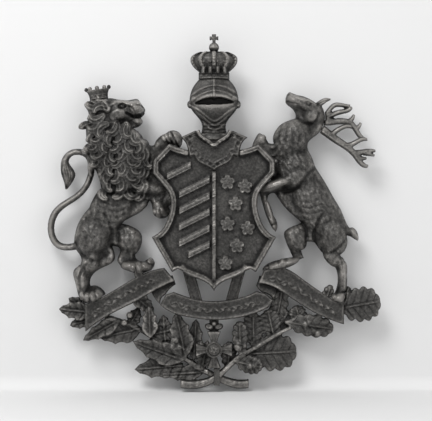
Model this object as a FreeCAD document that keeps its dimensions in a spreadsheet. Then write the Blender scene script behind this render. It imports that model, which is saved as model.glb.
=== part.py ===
"""Cast iron relief plaque: a shield between a lion and a stag, on a ribbon and two leafy branches.

The relief is built from separate flat-backed castings, lapped and screwed together from behind.
X runs to the right, Z up and Y towards the wall. The wall plane is Y = 0, and the relief faces -Y.
The origin is midway between the two wall studs. All sizes are in millimetres.
"""
import FreeCAD, Part
import math
import os
from FreeCAD import Matrix, Placement, Rotation, Vector

doc = FreeCAD.newDocument("relief_plaque")

# Driving dimensions
DIMENSIONS = {
    "rear_depth": 16,        # lion, stag, sash and branch castings, from the wall plane to their seats
    "draft": 1.5,            # inward lean of a casting's side wall over its depth
    "figure_relief": 20,     # greatest height of the animals' muscles above the rear layer
    "lock_length": 21,       # one curl of the lion's mane
    "lock_width": 12,
    "lock_height": 5,        # height of a curl above the muscle that it lies on
    "lap_clearance": 0.4,    # gap round a casting that is let into another
    "ribbon_depth": 9,       # thickness of the ribbon
    "fold_depth": 6,         # thickness of the ribbon's turned-under folds
    "shield_depth": 20,      # shield, from its seat to the top of its rim
    "rim_width": 8,          # width of the raised rim
    "field_recess": 8,       # depth of the field below the rim
    "pale_width": 6,         # bar down the middle of the shield
    "pale_height": 3.5,      # height of that bar above the field
    "charge_height": 3,      # height of the slanting bars and the roses above the field
    "bar_width": 11,         # slanting bar, measured upright
    "rose_radius": 11,
    "gorget_depth": 9,       # collar plate
    "collar_height": 6,      # raised band round the neck, above the collar plate
    "helmet_relief": 0.72,   # depth of the half round helmet and crown for each unit of their radius
    "helmet_set_back": 15,   # back of the helmet and crown, from the wall plane
    "eye_slit_depth": 14,    # depth of the opening in the helmet's face
    "spigot_radius": 4,      # round pegs that carry the crown and the coronet
    "spigot_length": 9,
    "spigot_clearance": 0.2,
    "arch_radius": 2.6,      # round ribs of the crown
    "antler_depth": 8,       # thickness of one antler
    "antler_gap": 1,         # clear space between the two antlers, front to back
    "leaf_depth": 7,         # thickness of a leaf
    "vein_height": 1.5,      # rib down the middle of a leaf
    "leaf_step": 3.5,        # rise from one layer of leaves to the next
    "stem_gap": 0.6,         # clear space between the two stems where they cross
    "berry_radius": 5,
    "acorn_radius": 5.5,
    "acorn_length": 16,
    "badge_depth": 6,        # hanging cross
    "badge_boss_radius": 12,
    "sash_width": 17,
    "sash_depth": 8,
    "tie_width": 9,          # band round the crossed stems
    "tie_wall": 2,
    "screw_radius": 2.5,
    "screw_head_radius": 4.5,
    "screw_head_height": 3,
    "screw_slot_width": 1.2,
    "screw_slot_depth": 1.4,
    "screw_clearance": 0.3,  # gap round a screw in the piece that it passes through
    "screw_bite": 7,         # length of a screw in the piece that it holds
    "screw_boss_radius": 8,  # round pad on a branch under each screw
    "stud_spacing": 300,     # between the two wall studs
    "stud_hole_radius": 3.4,
    "stud_hole_depth": 14,
}

sheet = doc.addObject("Spreadsheet::Sheet", "sizes")
for row, (alias, value) in enumerate(DIMENSIONS.items(), start=1):
    sheet.set(f"A{row}", alias.replace("_", " "))
    sheet.set(f"B{row}", str(value))
    sheet.setAlias(f"B{row}", alias)
doc.recompute()


def size(alias):
    """A driving dimension, read from the sheet."""
    return float(sheet.get(alias))


# Depths of the layers, measured forward from the wall plane
SEAT = size("rear_depth")
SASH_BACK = SEAT - size("sash_depth")
RIBBON_FRONT = SEAT + size("ribbon_depth")
RIM_FRONT = SEAT + size("shield_depth")
FIELD_FRONT = RIM_FRONT - size("field_recess")
GORGET_FRONT = FIELD_FRONT + size("gorget_depth")
FRONT_OF_ALL = 4 * SEAT


# Drawing helpers
def at(x, z, depth=0.0):
    """A point of the relief's face plane, at a depth in front of the wall."""
    return Vector(x, -depth, z)


def mirrored(points):
    """The same points on the other side of the middle, in the opposite order."""
    return [(-x, z) for x, z in reversed(points)]


def curves_of(runs, place):
    """Curves round a closed outline. A run starts at its first point and ends where the next run starts:
    a run of one point is a straight edge and a longer one is a smooth curve."""
    curves = []
    for number, run in enumerate(runs):
        ends_at = runs[(number + 1) % len(runs)][0]
        points = [place(x, z) for x, z in [*run, ends_at]]
        if len(points) == 2:
            curves.append(Part.LineSegment(*points))
        else:
            curve = Part.BSplineCurve()
            curve.interpolate(points)
            curves.append(curve)
    return curves


def cornered_wire(runs, depth):
    return Part.Wire([c.toShape() for c in curves_of(runs, lambda x, z: at(x, z, depth))])


def turned_area(points):
    """Twice the signed area of a polygon, which tells its direction."""
    after = points[1:] + points[:1]
    return sum(x0 * z1 - x1 * z0 for (x0, z0), (x1, z1) in zip(points, after))


def inset_runs(runs, distance):
    """A cornered outline moved inwards: each corner along the line that halves its angle."""
    points = [p for run in runs for p in run]
    turn = math.copysign(1.0, turned_area(points))
    moved = []
    for number, (x, z) in enumerate(points):
        x0, z0 = points[number - 1]
        x1, z1 = points[(number + 1) % len(points)]
        before, after = math.hypot(x - x0, z - z0), math.hypot(x1 - x, z1 - z)
        ax, az = -(z - z0) / before, (x - x0) / before
        bx, bz = -(z1 - z) / after, (x1 - x) / after
        reach = turn * distance / (1 + ax * bx + az * bz)
        moved.append((x + reach * (ax + bx), z + reach * (az + bz)))
    kept = iter(moved)
    return [[next(kept) for _ in run] for run in runs]


def prism(wire, depth):
    """A face carried forward by a depth."""
    return Part.Face(wire).extrude(Vector(0, -depth, 0))


def casting(runs, back, front):
    """A plate whose side wall leans in by the draft."""
    narrower = cornered_wire(inset_runs(runs, size("draft")), front)
    return Part.makeLoft([cornered_wire(runs, back), narrower], True, True)


def stroke(path, back, front, crown=0.6):
    """A tapering bar along a path of (x, z, half width). Its front is narrower than its back, by crown."""
    def edge(share):
        left, right = [], []
        for number, (x, z, half) in enumerate(path):
            x0, z0, _ = path[max(number - 1, 0)]
            x1, z1, _ = path[min(number + 1, len(path) - 1)]
            length = math.hypot(x1 - x0, z1 - z0)
            nx, nz = -(z1 - z0) / length * half * share, (x1 - x0) / length * half * share
            left.append((x + nx, z + nz))
            right.append((x - nx, z - nz))
        right.reverse()
        return [[left[0], *left[1:-1]], [left[-1]], [right[0], *right[1:-1]], [right[-1]]]
    return Part.makeLoft([cornered_wire(edge(1.0), back), cornered_wire(edge(crown), front)], True, True)


def swelling(x, z, along, across, angle, height, foot):
    """Half an egg on the face plane: a muscle. Its flat side is at the depth foot."""
    dome = Part.makeSphere(1.0, Vector(), Vector(0, -1, 0), 0, 90, 360)
    stretch = Matrix()
    stretch.scale(Vector(along, height, across))
    dome = dome.transformGeometry(stretch)
    dome.Placement = Placement(at(x, z, foot), Rotation(Vector(0, -1, 0), angle))
    return dome


def round_bar(x, z, radius, back, front):
    """A cylinder that runs forward from one depth to another."""
    return Part.makeCylinder(radius, front - back, at(x, z, back), Vector(0, -1, 0))


def fused(first, *others):
    return first.multiFuse([o for o in others]).removeSplitter()


nodes = []


def solid_object(label, shape):
    """A shape in the document under its own name."""
    piece = doc.addObject("Part::Feature", label)
    piece.Label = label
    piece.Shape = shape
    return piece


def finish(label, shape):
    """A finished casting: one of the plaque's pieces."""
    nodes.append(solid_object(label, shape))
    return nodes[-1]


# Screws: where each stands, the layer its head is in and the layer it bites into
SCREWS = {
    "shield_screws": [(-66, 90, 0, SEAT), (-61, 31, 0, SEAT), (66, 90, 0, SEAT), (81, 66, 0, SEAT)],
    "gorget_screws": [(-22, 82, SEAT, FIELD_FRONT), (22, 82, SEAT, FIELD_FRONT)],
    "helmet_screws": [(-27, 106, size("helmet_set_back"), FIELD_FRONT),
                      (27, 106, size("helmet_set_back"), FIELD_FRONT)],
    "ribbon_screws": [(-180, -128, SEAT, RIBBON_FRONT), (-112, -84, SEAT, RIBBON_FRONT),
                      (187, -128, SEAT, RIBBON_FRONT), (101, -77, SEAT, RIBBON_FRONT)],
    "sash_screws": [(-38, -88, SASH_BACK, SEAT), (38, -88, SASH_BACK, SEAT),
                    (-23, -140, SASH_BACK, SEAT), (23, -140, SASH_BACK, SEAT)],
    "branch_screws": [(-178, -153, 0, SEAT), (-118, -122, 0, SEAT), (176, -148, 0, SEAT),
                      (104, -106, 0, SEAT)],
    "badge_screws": [(0, -146, SASH_BACK, SEAT)],
}


def way_through(group, back, front):
    """The holes that a group's screws need in the piece that they pass through, head recess included."""
    holes = []
    for x, z, head, _ in SCREWS[group]:
        if back - 1 <= head <= front:
            holes.append(round_bar(x, z, size("screw_radius") + size("screw_clearance"),
                                   head - 1, front + 1))
            recess = size("screw_head_radius") + size("screw_clearance")
            holes.append(round_bar(x, z, recess, head - 1, head + size("screw_head_height")))
    return holes


def tapped(group, *numbers):
    """The holes that a group's screws bite into."""
    return [round_bar(x, z, size("screw_radius"), seat - 1, seat + size("screw_bite"))
            for x, z, _, seat in (SCREWS[group][n] for n in numbers)]


# Shield: a plate with a raised rim, a sunk field and a bar down its middle
SHIELD_RIGHT = [
    [(38, 92), (52, 95)], [(66, 101)], [(90, 76)],
    [(90, 57), (77, 42), (66, 26), (64, 9), (68, -9), (77, -26)],
    [(92, -37)], [(62, -89)], [(54, -84)], [(47, -87), (34, -95), (16, -102)],
]
FIELD_RIGHT = [run for run in SHIELD_RIGHT if run != [(54, -84)]]


def both_sides(right, tip):
    """A whole outline from its right side, which runs down from the top to the tip."""
    ends = [run[0] for run in right[1:]] + [tip]
    left = [mirrored([*run[1:], end]) for run, end in zip(right, ends)]
    return [*right, *reversed(left), [(-right[0][0][0], right[0][0][1])]]


SHIELD = both_sides(SHIELD_RIGHT, (0, -117))
FIELD = inset_runs(both_sides(FIELD_RIGHT, (0, -117)), size("rim_width"))


def sketch_in(body, label, runs, depth):
    """A sketch on the face plane, a given cell or sum of cells in front of the wall."""
    sketch = body.newObject("Sketcher::SketchObject", label)
    plane = next(f for f in body.Origin.OriginFeatures if f.Role == "XZ_Plane")
    sketch.AttachmentSupport = [(plane, "")]
    sketch.MapMode = "FlatFace"
    sketch.setExpression("AttachmentOffset.Base.z", depth)
    for curve in curves_of(runs, lambda x, z: Vector(x, z, 0)):
        sketch.addGeometry(curve, False)
    return sketch


def pad(body, label, runs, depth, length):
    feature = body.newObject("PartDesign::Pad", label)
    feature.Profile = sketch_in(body, label + "_outline", runs, depth)
    feature.setExpression("Length", length)
    return feature


def pocket(body, label, runs, depth, length):
    """A hollow cut back from a depth towards the wall."""
    feature = body.newObject("PartDesign::Pocket", label)
    feature.Profile = sketch_in(body, label + "_outline", runs, depth)
    feature.setExpression("Length", length)
    return feature


def block(x0, z0, x1, z1):
    return [[(x0, z0)], [(x1, z0)], [(x1, z1)], [(x0, z1)]]


def drilled(label, body, holes):
    """A body with its screw holes cut, under the piece's name."""
    piece = doc.addObject("Part::Cut", label)
    piece.Label = label
    piece.Base = body
    piece.Tool = solid_object(label + "_holes", Part.makeCompound(holes))
    nodes.append(piece)


RIM = "sizes.rear_depth + sizes.shield_depth"
shield_body = doc.addObject("PartDesign::Body", "shield_casting")
pad(shield_body, "shield_plate", SHIELD, "sizes.rear_depth", "sizes.shield_depth")
pocket(shield_body, "shield_field", FIELD, RIM, "sizes.field_recess")
pocket(shield_body, "gorget_seat", block(-44, 72, 44, 112), RIM, "sizes.field_recess")
half_pale = size("pale_width") / 2
field_face = RIM + " - sizes.field_recess"
pad(shield_body, "shield_pale", block(-half_pale, -104, half_pale, 60), field_face, "sizes.pale_height")
# Where each slanting bar starts, and how far right it runs
BARS = [(-70, 46, -34), (-52, 20, -6), (-52, -4, -6), (-52, -28, -6), (-52, -52, -6), (-38, -69, -6)]
BAR_SLOPE = 0.5
for number, (x0, z0, x1) in enumerate(BARS):
    z1 = z0 + (x1 - x0) * BAR_SLOPE
    width = size("bar_width")
    bar = [[(x0, z0)], [(x1, z1)], [(x1, z1 + width)], [(x0, z0 + width)]]
    pad(shield_body, f"shield_bar_{number}", bar, field_face, "sizes.charge_height")
ROSES = [(20, 44), (46, 38), (32, 12), (20, -18), (50, -24), (34, -50), (17, -76)]
PETALS = 5


def rose(x, z, radius):
    """A flower's outline: a run for each petal, between two notches."""
    runs = []
    for n in range(PETALS):
        middle = 90 + n * 360 / PETALS
        steps = [(middle - 180 / PETALS, 0.55), (middle - 17, 0.98), (middle + 17, 0.98)]
        turns = [(math.radians(angle), share * radius) for angle, share in steps]
        runs.append([(x + reach * math.cos(turn), z + reach * math.sin(turn)) for turn, reach in turns])
    return runs


for number, (x, z) in enumerate(ROSES):
    pad(shield_body, f"shield_rose_{number}", rose(x, z, size("rose_radius")), field_face,
        "sizes.charge_height")
drilled("shield", shield_body, way_through("gorget_screws", SEAT, FIELD_FRONT)
        + tapped("shield_screws", 0, 1, 2, 3) + tapped("sash_screws", 0, 1))

# What the castings behind the shield leave free for it
shield_room = cornered_wire(inset_runs(SHIELD, -size("lap_clearance")), SEAT)

# Gorget: a collar plate with pointed shoulders and a raised band round the neck
GORGET_RIGHT = [[(21, 119)], [(28, 120)], [(50, 110), (43, 104), (39, 95)], [(36, 82)],
                [(29, 84), (24, 75), (12, 68)]]
GORGET = both_sides(GORGET_RIGHT, (0, 61))[:-1] + [[(-21, 119), (-15, 110), (0, 106), (15, 110)]]
COLLAR = [(-24, 120, 3), (-17, 110, 3), (-8, 104, 3), (0, 98.5, 3), (8, 104, 3), (17, 110, 3), (24, 120, 3)]
gorget = fused(prism(cornered_wire(GORGET, FIELD_FRONT), size("gorget_depth")),
               stroke(COLLAR, GORGET_FRONT - 1, GORGET_FRONT + size("collar_height"), 0.7))
finish("gorget", gorget.cut(Part.makeCompound(tapped("gorget_screws", 0, 1) + tapped("helmet_screws", 0, 1))))


# Helmet and crown: half rounds on a flat back
def half_round(z, radius, back, relief):
    """A half ellipse that bulges forward from a depth, at one height."""
    whole = Part.Ellipse(Vector(0, -back, z), radius, radius * relief)
    arc = Part.ArcOfEllipse(whole, math.pi, 2 * math.pi).toShape()
    return Part.Wire([arc, Part.makeLine(arc.Vertexes[1].Point, arc.Vertexes[0].Point)])


def turned(profile, back, relief, straight=False):
    """A half round body through (height, radius) pairs."""
    return Part.makeLoft([half_round(z, r, back, relief) for z, r in profile], True, straight)


SET_BACK = size("helmet_set_back")
RELIEF = size("helmet_relief")
HELMET = [(98, 19), (118, 19), (136, 20.5), (147, 29.5), (159, 36), (171, 36), (182, 33), (190, 28.5),
          (197, 22.5)]
CAP = [(206, 20), (212, 27), (221, 34), (227, 34.5), (232, 30), (236.5, 20), (239, 8)]
CROWN_AXIS = SET_BACK + 8
EYE_SLIT = [[(-30, 160), (-15, 167), (0, 169.5), (16, 168)], [(31, 162), (16, 159.5), (0, 158.5),
                                                              (-15, 158.5)]]

helmet = turned(HELMET, SET_BACK, RELIEF)
ears = [swelling(side * 35, 160, 5, 6, 0, 9, SET_BACK) for side in (-1, 1)]
tongue = prism(cornered_wire(block(-34, 97, 34, 116), SET_BACK), FIELD_FRONT - SET_BACK)
crown_peg = Part.makeCylinder(size("spigot_radius"), size("spigot_length") + 2, at(0, 195, CROWN_AXIS))
helmet = fused(helmet, tongue, crown_peg, *ears)
face_front = SET_BACK + 36 * RELIEF
slit = prism(cornered_wire(EYE_SLIT, face_front - size("eye_slit_depth")), FRONT_OF_ALL)
gorget_room = prism(cornered_wire(inset_runs(GORGET, -size("lap_clearance")), FIELD_FRONT), FRONT_OF_ALL)
finish("helmet", helmet.cut(Part.makeCompound(
    [slit, gorget_room, *way_through("helmet_screws", SET_BACK, FIELD_FRONT)])))


def arch(angle):
    """One rib of the crown, from its band to the orb."""
    across, forward = math.cos(angle), RELIEF * math.sin(angle)
    share = math.hypot(across, forward)
    way = Vector(across / share, -forward / share, 0)
    side = Vector(way.y, -way.x, 0) * size("arch_radius")
    middle = at(0, 0, SET_BACK)
    rise = size("arch_radius")
    edge = [middle + way * (r * share + rise) + Vector(0, 0, z + rise / 2) - side for z, r in CAP[:-1]]
    curve = Part.BSplineCurve()
    curve.interpolate(edge)
    low = middle + Vector(0, 0, edge[0].z) - side
    high = middle + Vector(0, 0, edge[-1].z) - side
    wire = Part.Wire([curve.toShape(), Part.makeLine(edge[-1], high), Part.makeLine(high, low),
                      Part.makeLine(low, edge[0])])
    return Part.Face(wire).extrude(side * 2)


BAND_RADIUS = 23
leaves = [swelling((BAND_RADIUS - 2) * math.cos(a), 213, 5, 9.5, 0, 9,
                   SET_BACK + RELIEF * BAND_RADIUS * math.sin(a) - 3)
          for a in (math.radians(d) for d in (44, 75, 105, 136))]
crown = fused(turned([(197, BAND_RADIUS), (207, BAND_RADIUS)], SET_BACK, RELIEF, True),
              turned(CAP, SET_BACK, RELIEF), *leaves,
              *[arch(math.radians(a)) for a in (24, 57, 90, 123, 156)],
              Part.makeSphere(7.5, at(0, 244, CROWN_AXIS)),
              stroke([(0, 248, 3), (0, 256, 2.5), (0, 264, 3.5)], CROWN_AXIS - 3, CROWN_AXIS + 3, 0.8),
              stroke([(-6.5, 258, 3.5), (0, 258, 2), (6.5, 258, 3.5)], CROWN_AXIS - 3, CROWN_AXIS + 3, 0.8))
behind = Part.makeBox(200, 50, 100, Vector(-100, -SET_BACK, 190))
crown_socket = Part.makeCylinder(size("spigot_radius") + size("spigot_clearance"),
                                 size("spigot_length") + 1, at(0, 196.5, CROWN_AXIS))
finish("helmet_crown", crown.cut(Part.makeCompound([behind, crown_socket])))

# Ribbon: three flights on one layer. The two folds turn under, behind the middle flight.
RIBBON_LEFT = [[(-192, -137), (-170, -128), (-150, -117), (-130, -105), (-112, -95), (-92, -87)],
               [(-74, -83)], [(-58, -102)],
               [(-62, -104), (-78, -111), (-94, -120), (-110, -130), (-130, -140), (-150, -150),
                (-170, -162)],
               [(-191, -178)]]
RIBBON_RIGHT = [[(66, -106)], [(74, -86), (90, -84), (106, -84), (120, -91), (135, -102), (152, -114),
                               (172, -127)],
                [(193, -137)], [(193, -167), (170, -159), (150, -150), (130, -138), (110, -125),
                                (94, -114), (80, -108)]]
RIBBON_CENTRE = [[(-80, -138)], [(-72, -123)], [(-60, -119), (-40, -126), (-20, -131), (0, -132.5),
                                                (20, -131), (42, -126.5)],
                 [(63, -118)], [(76, -121)], [(88, -131)],
                 [(80, -142), (60, -151), (38, -157), (14, -160), (-10, -160), (-34, -157), (-58, -151)]]
FOLD_LEFT = [[(-62, -94)], [(-57, -108), (-66, -115)], [(-72, -123), (-79, -130)], [(-80, -138),
                                                                                    (-88, -129)],
             [(-95, -114)]]
FOLD_RIGHT = [[(68, -95)], [(63, -110), (67, -116)], [(76, -121), (84, -125)], [(88, -131), (92, -124)],
              [(94, -104)]]
LUG = 6


def lug_at(x, z, half, back, front):
    """A round-ended tab that stands up from the ribbon's upper edge, behind a foot."""
    shank = prism(cornered_wire(block(x - half, z - 2 * half, x + half, z), back), front - back)
    return [round_bar(x, z, half, back, front), shank]


ribbon_room = {}
for label, outline, fold, toes in [("ribbon_left", RIBBON_LEFT, FOLD_LEFT, (0, 1)),
                                   ("ribbon_right", RIBBON_RIGHT, FOLD_RIGHT, (2, 3))]:
    flight = prism(cornered_wire(outline, SEAT), size("ribbon_depth"))
    under = prism(cornered_wire(fold, SEAT - size("fold_depth")), size("fold_depth"))
    lugs = [SCREWS["ribbon_screws"][n][:2] for n in toes]
    flight = fused(flight, under, *[lug for x, z in lugs for lug in lug_at(x, z, LUG, SEAT, RIBBON_FRONT)])
    holes = [h for n in toes for h in way_through("ribbon_screws", SEAT, RIBBON_FRONT)[2 * n:2 * n + 2]]
    ribbon_room[label] = [outline, lugs]
    holes += tapped("branch_screws", *toes)
    finish(label, flight.cut(Part.makeCompound(holes)))

ribbon_body = doc.addObject("PartDesign::Body", "ribbon_centre_casting")
pad(ribbon_body, "ribbon_centre_plate", RIBBON_CENTRE, "sizes.rear_depth", "sizes.ribbon_depth")
drilled("ribbon_centre", ribbon_body, tapped("sash_screws", 2, 3) + tapped("badge_screws", 0))


def lap(label):
    """The room that a foot leaves for the ribbon behind it."""
    outline, lugs = ribbon_room[label]
    room = [prism(cornered_wire(inset_runs(outline, -size("lap_clearance")), -1), RIBBON_FRONT + 1)]
    wider = LUG + size("lap_clearance")
    return room + [tab for x, z in lugs for tab in lug_at(x, z, wider, -1, RIBBON_FRONT)]


# Sash: two flat straps from the shield to the middle flight
half_sash = size("sash_width") / 2
for label, side, number in [("sash_left", -1, 0), ("sash_right", 1, 1)]:
    top, low = side * 41, side * 19
    strap = [[(top - half_sash, -78)], [(top + half_sash, -78)], [(low + half_sash, -157)],
             [(low - half_sash, -157)]]
    sash_body = doc.addObject("PartDesign::Body", label + "_casting")
    pad(sash_body, label + "_strap", strap, "sizes.rear_depth - sizes.sash_depth", "sizes.sash_depth")
    ways = way_through("sash_screws", SASH_BACK, SEAT)
    drilled(label, sash_body, ways[2 * number:2 * number + 2] + ways[2 * number + 4:2 * number + 6])

# Lion, with its tail, and the coronet on its head
LION = [
    # skull, brow and upper lip
    [(-188, 166), (-172, 171), (-150, 170), (-128, 167), (-114, 169), (-109, 162), (-103, 153),
     (-105, 145)],
    # lower jaw, then the curls of the beard
    [(-110, 141), (-107, 134), (-112, 128)],
    [(-122, 126), (-117, 119), (-111, 112), (-101, 108)],
    # far foreleg, up to its paw and back behind the shield
    [(-97, 100), (-87, 101), (-78, 109), (-68, 121), (-55, 121), (-47, 110), (-54, 92), (-72, 78)],
    # near foreleg and its hanging paw
    [(-87, 66), (-82, 48), (-62, 42), (-50, 32), (-56, 19)],
    [(-68, 8), (-71, -8), (-81, -10), (-91, 0), (-94, 13)],
    # belly
    [(-97, 17), (-106, 3), (-122, -7)],
    # far thigh and foot
    [(-139, -17), (-122, -22), (-109, -33), (-108, -46)],
    [(-118, -64), (-114, -72), (-103, -73), (-95, -68), (-89, -75), (-93, -86), (-116, -92), (-136, -83),
     (-145, -72), (-141, -60)],
    # near thigh and foot
    [(-153, -51), (-155, -78), (-172, -86), (-184, -98)],
    [(-185, -111), (-172, -112), (-162, -127), (-168, -137), (-188, -139), (-202, -127), (-207, -108),
     (-211, -91)],
    # haunch, back and mane
    [(-199, -80), (-200, -66), (-208, -54), (-209, -38), (-203, -16), (-190, 3), (-177, 16)],
    [(-169, 36), (-174, 56), (-184, 80), (-187, 100), (-191, 116), (-188, 136), (-188, 150), (-194, 160)],
]
TAIL = [
    (-200, -47, 6), (-218, -53, 5.5), (-234, -49, 5.5), (-243, -35, 5.5), (-244, -18, 5.5), (-237, 0, 5.5),
    (-222, 13, 5.2), (-205, 24, 5), (-192, 38, 5), (-185, 55, 5), (-184, 72, 5), (-190, 85, 5),
    (-203, 90, 5),
    (-216, 87, 5), (-223, 77, 6), (-222, 66, 9), (-218, 55, 11), (-219, 45, 7), (-222, 34, 1.5),
]
# Muscles: middle, half length, half width, slope in degrees and share of the greatest relief
LION_MUSCLES = [
    (-143, 150, 31, 17, 6, 0.75), (-118, 155, 12, 11, 0, 0.8), (-165, 118, 21, 42, 6, 0.8),
    (-128, 92, 27, 34, 0, 0.85), (-138, 55, 31, 22, 0, 0.85), (-155, 6, 48, 29, 60, 0.75),
    (-181, -38, 29, 24, 72, 0.9), (-127, -43, 15, 16, 0, 0.5), (-116, -81, 24, 8.5, -3, 1.1),
    (-184, -74, 20, 13, 60, 0.65), (-197, -102, 24, 9, 96, 0.65), (-182, -126, 17, 10, -5, 1.1),
    (-98, 36, 26, 10, -8, 0.7), (-83, 5, 9, 14, 0, 0.6), (-76, 105, 18, 9, 42, 0.3),
]


def muscles_of(table):
    return [swelling(x, z, along, across, slope, share * size("figure_relief"), SEAT - 2)
            for x, z, along, across, slope, share in table]


def level_at(table, x, z):
    """How far forward a figure's muscles stand at one place."""
    levels = [SEAT]
    for mx, mz, along, across, slope, share in table:
        c, s = math.cos(math.radians(slope)), math.sin(math.radians(slope))
        u = ((x - mx) * c + (z - mz) * s) / along
        v = ((z - mz) * c - (x - mx) * s) / across
        if u * u + v * v < 1:
            levels.append(SEAT - 2 + share * size("figure_relief") * math.sqrt(1 - u * u - v * v))
    return max(levels)


# Mane: rows of curls that fan out from the face, each as distance from it, first and last heading, and count
FACE_X, FACE_Z = -135, 150
MANE_ROWS = [(29, 160, 285, 5), (45, 168, 290, 6), (61, 200, 298, 6), (77, 226, 302, 6), (93, 240, 298, 5)]
mane = []
for reach, first, last, count in MANE_ROWS:
    for n in range(count):
        heading = first + (last - first) * n / (count - 1)
        x = FACE_X + reach * math.cos(math.radians(heading))
        z = FACE_Z + reach * math.sin(math.radians(heading))
        foot = level_at(LION_MUSCLES, x, z) - 2
        mane.append(swelling(x, z, size("lock_length") / 2, size("lock_width") / 2, heading,
                             size("lock_height") + 2, foot))


def stud_hole(side):
    return round_bar(side * size("stud_spacing") / 2, 0, size("stud_hole_radius"),
                     -1, size("stud_hole_depth"))


CORONET_SEAT = Placement(at(-172, 168), Rotation(Vector(0, -1, 0), 8))
CORONET_AXIS = 9
above_head = Part.makeBox(60, 80, 40, Vector(-30, -60, 0))
above_head.Placement = CORONET_SEAT
coronet_peg = Part.makeCylinder(size("spigot_radius"), size("spigot_length") + 5, at(0, -5, CORONET_AXIS))
coronet_peg.Placement = CORONET_SEAT
lion = fused(casting(LION, 0, SEAT), stroke(TAIL, 0, SEAT - 4, 0.5), *muscles_of(LION_MUSCLES), *mane)
behind_shield = prism(shield_room, FRONT_OF_ALL)
lion = lion.cut(Part.makeCompound([above_head, behind_shield, *lap("ribbon_left")]))
lion = fused(lion, coronet_peg)
lion_holes = way_through("shield_screws", 0, SEAT)[0:4] + tapped("ribbon_screws", 0, 1) + [stud_hole(-1)]
finish("lion", lion.cut(Part.makeCompound(lion_holes)))

CORONET = [(0.2, 14), (5, 14), (8, 14.5), (15, 18)]
points = [swelling(17 * math.cos(a), 17, 3.2, 3.2, 0, 4, 2 + 13 * math.sin(a))
          for a in (math.radians(d) for d in (5, 50, 90, 130, 175))]
coronet = fused(turned(CORONET, 2, 0.95), *points)
coronet = coronet.cut(Part.makeCylinder(size("spigot_radius") + size("spigot_clearance"),
                                        size("spigot_length") + 1, at(0, -0.5, CORONET_AXIS)))
finish("lion_coronet", coronet).Placement = CORONET_SEAT

# Stag and its two antlers
STAG = [
    # forehead and nape
    [(113, 180), (126, 174), (140, 168), (151, 163)],
    [(160, 160), (165, 150), (166, 138), (162, 126), (156, 117), (148, 111)],
    # back and tail
    [(141, 104), (140, 96), (146, 83), (151, 70), (163, 50), (180, 20), (192, -1), (199, -18)],
    [(203, -24), (216, -35), (216, -43), (206, -38)],
    # near hind leg and hoof
    [(196, -37), (189, -47), (184, -58), (188, -68), (197, -75), (199, -88), (197, -101), (196, -115),
     (195, -129)],
    [(187, -136), (175, -135)],
    [(171, -129), (180, -122), (184, -112), (185, -95), (182, -84), (170, -70), (157, -55)],
    # far hind leg and hoof
    [(151, -46), (138, -45)],
    [(130, -49), (131, -60)],
    [(135, -69), (122, -73), (104, -79), (88, -86)],
    [(73, -88)],
    [(74, -82), (88, -74), (104, -70)],
    [(118, -68), (112, -55), (106, -40), (105, -31), (114, -23)],
    # belly
    [(131, -16), (116, -3), (106, 7), (97, 19)],
    # near foreleg, down to its hoof and up to the knee
    [(91, 28), (83, 26), (80, 13), (85, 0), (92, -10), (95, -20)],
    [(92, -30), (87, -23), (79, -8), (73, 10), (69, 24)],
    [(67, 32), (76, 40)],
    # chest behind the shield, and the far knee above it
    [(86, 47), (80, 56), (75, 66)],
    [(76, 76), (64, 84), (57, 96), (61, 109), (68, 118), (76, 112)],
    [(82, 103)],
    # throat, jaw and muzzle
    [(90, 102), (88, 110), (91, 120), (100, 131), (112, 137)],
    [(122, 140), (121, 149), (114, 157), (108, 162), (107, 170)],
]
STAG_MUSCLES = [
    (135, 160, 27, 11, -24, 0.75), (147, 145, 14, 15, 0, 0.8), (117, 108, 36, 21, 60, 0.8),
    (122, 62, 27, 30, 0, 0.9), (152, 8, 50, 27, 121, 0.8), (177, -37, 29, 21, 110, 0.95),
    (124, -40, 15, 19, 20, 0.5), (100, -78, 29, 7.5, 16, 1.1), (177, -68, 19, 11, 135, 0.65),
    (192, -95, 28, 6.5, 93, 0.65), (184, -127, 12, 8, 20, 1.15), (93, 41, 25, 8.5, 20, 1.4),
    (83, -3, 27, 5, 107, 0.6), (70, 106, 11, 8, 60, 0.3),
]
EAR = [(152, 158, 4), (160, 163, 4.5), (167, 167, 3.5), (174, 168, 1.2)]
stag = fused(casting(STAG, 0, SEAT), stroke(EAR, SEAT - 6, SEAT + 6, 0.5), *muscles_of(STAG_MUSCLES))
knee_room = prism(shield_room, RIM_FRONT + size("lap_clearance") - SEAT)
stag = stag.cut(Part.makeCompound([knee_room, *lap("ribbon_right")]))

NEAR_ANTLER = [
    [(158, 126, 7), (170, 117, 6.5), (185, 106, 6), (200, 96, 5.6), (210, 86, 5), (217, 76, 4.6),
     (223, 70, 4), (230, 68, 2.6)],
    [(174, 112, 5), (180, 119, 4.4), (189, 125, 4), (198, 128, 3.6), (206, 126, 2.2)],
    [(194, 100, 5), (206, 101, 4.4), (217, 107, 4), (229, 108, 2.2)],
    [(208, 88, 5), (220, 89, 4.6), (231, 91, 3.8), (241, 91, 2.2)],
    [(212, 83, 4.4), (221, 80, 3.4), (228, 80, 1.8)],
    [(224, 88, 4), (232, 86, 3), (240, 84, 1.8)],
]
FAR_ANTLER = [
    [(160, 136, 6), (176, 135, 5.6), (192, 136, 5.2), (204, 133, 5), (211, 126, 4.6), (217, 116, 4.2),
     (227, 109, 2.6)],
    [(200, 134, 4.4), (207, 140, 3.6), (210, 146, 2)],
    [(211, 124, 4.2), (217, 128, 3.4), (220, 134, 2)],
    [(163, 139, 5.4), (178, 146, 4.6), (190, 150, 4.2), (200, 152, 3.8), (207, 157, 2)],
    [(168, 144, 4.6), (173, 153, 4), (181, 160, 4), (192, 160, 3.6), (204, 159, 2)],
]


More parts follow.
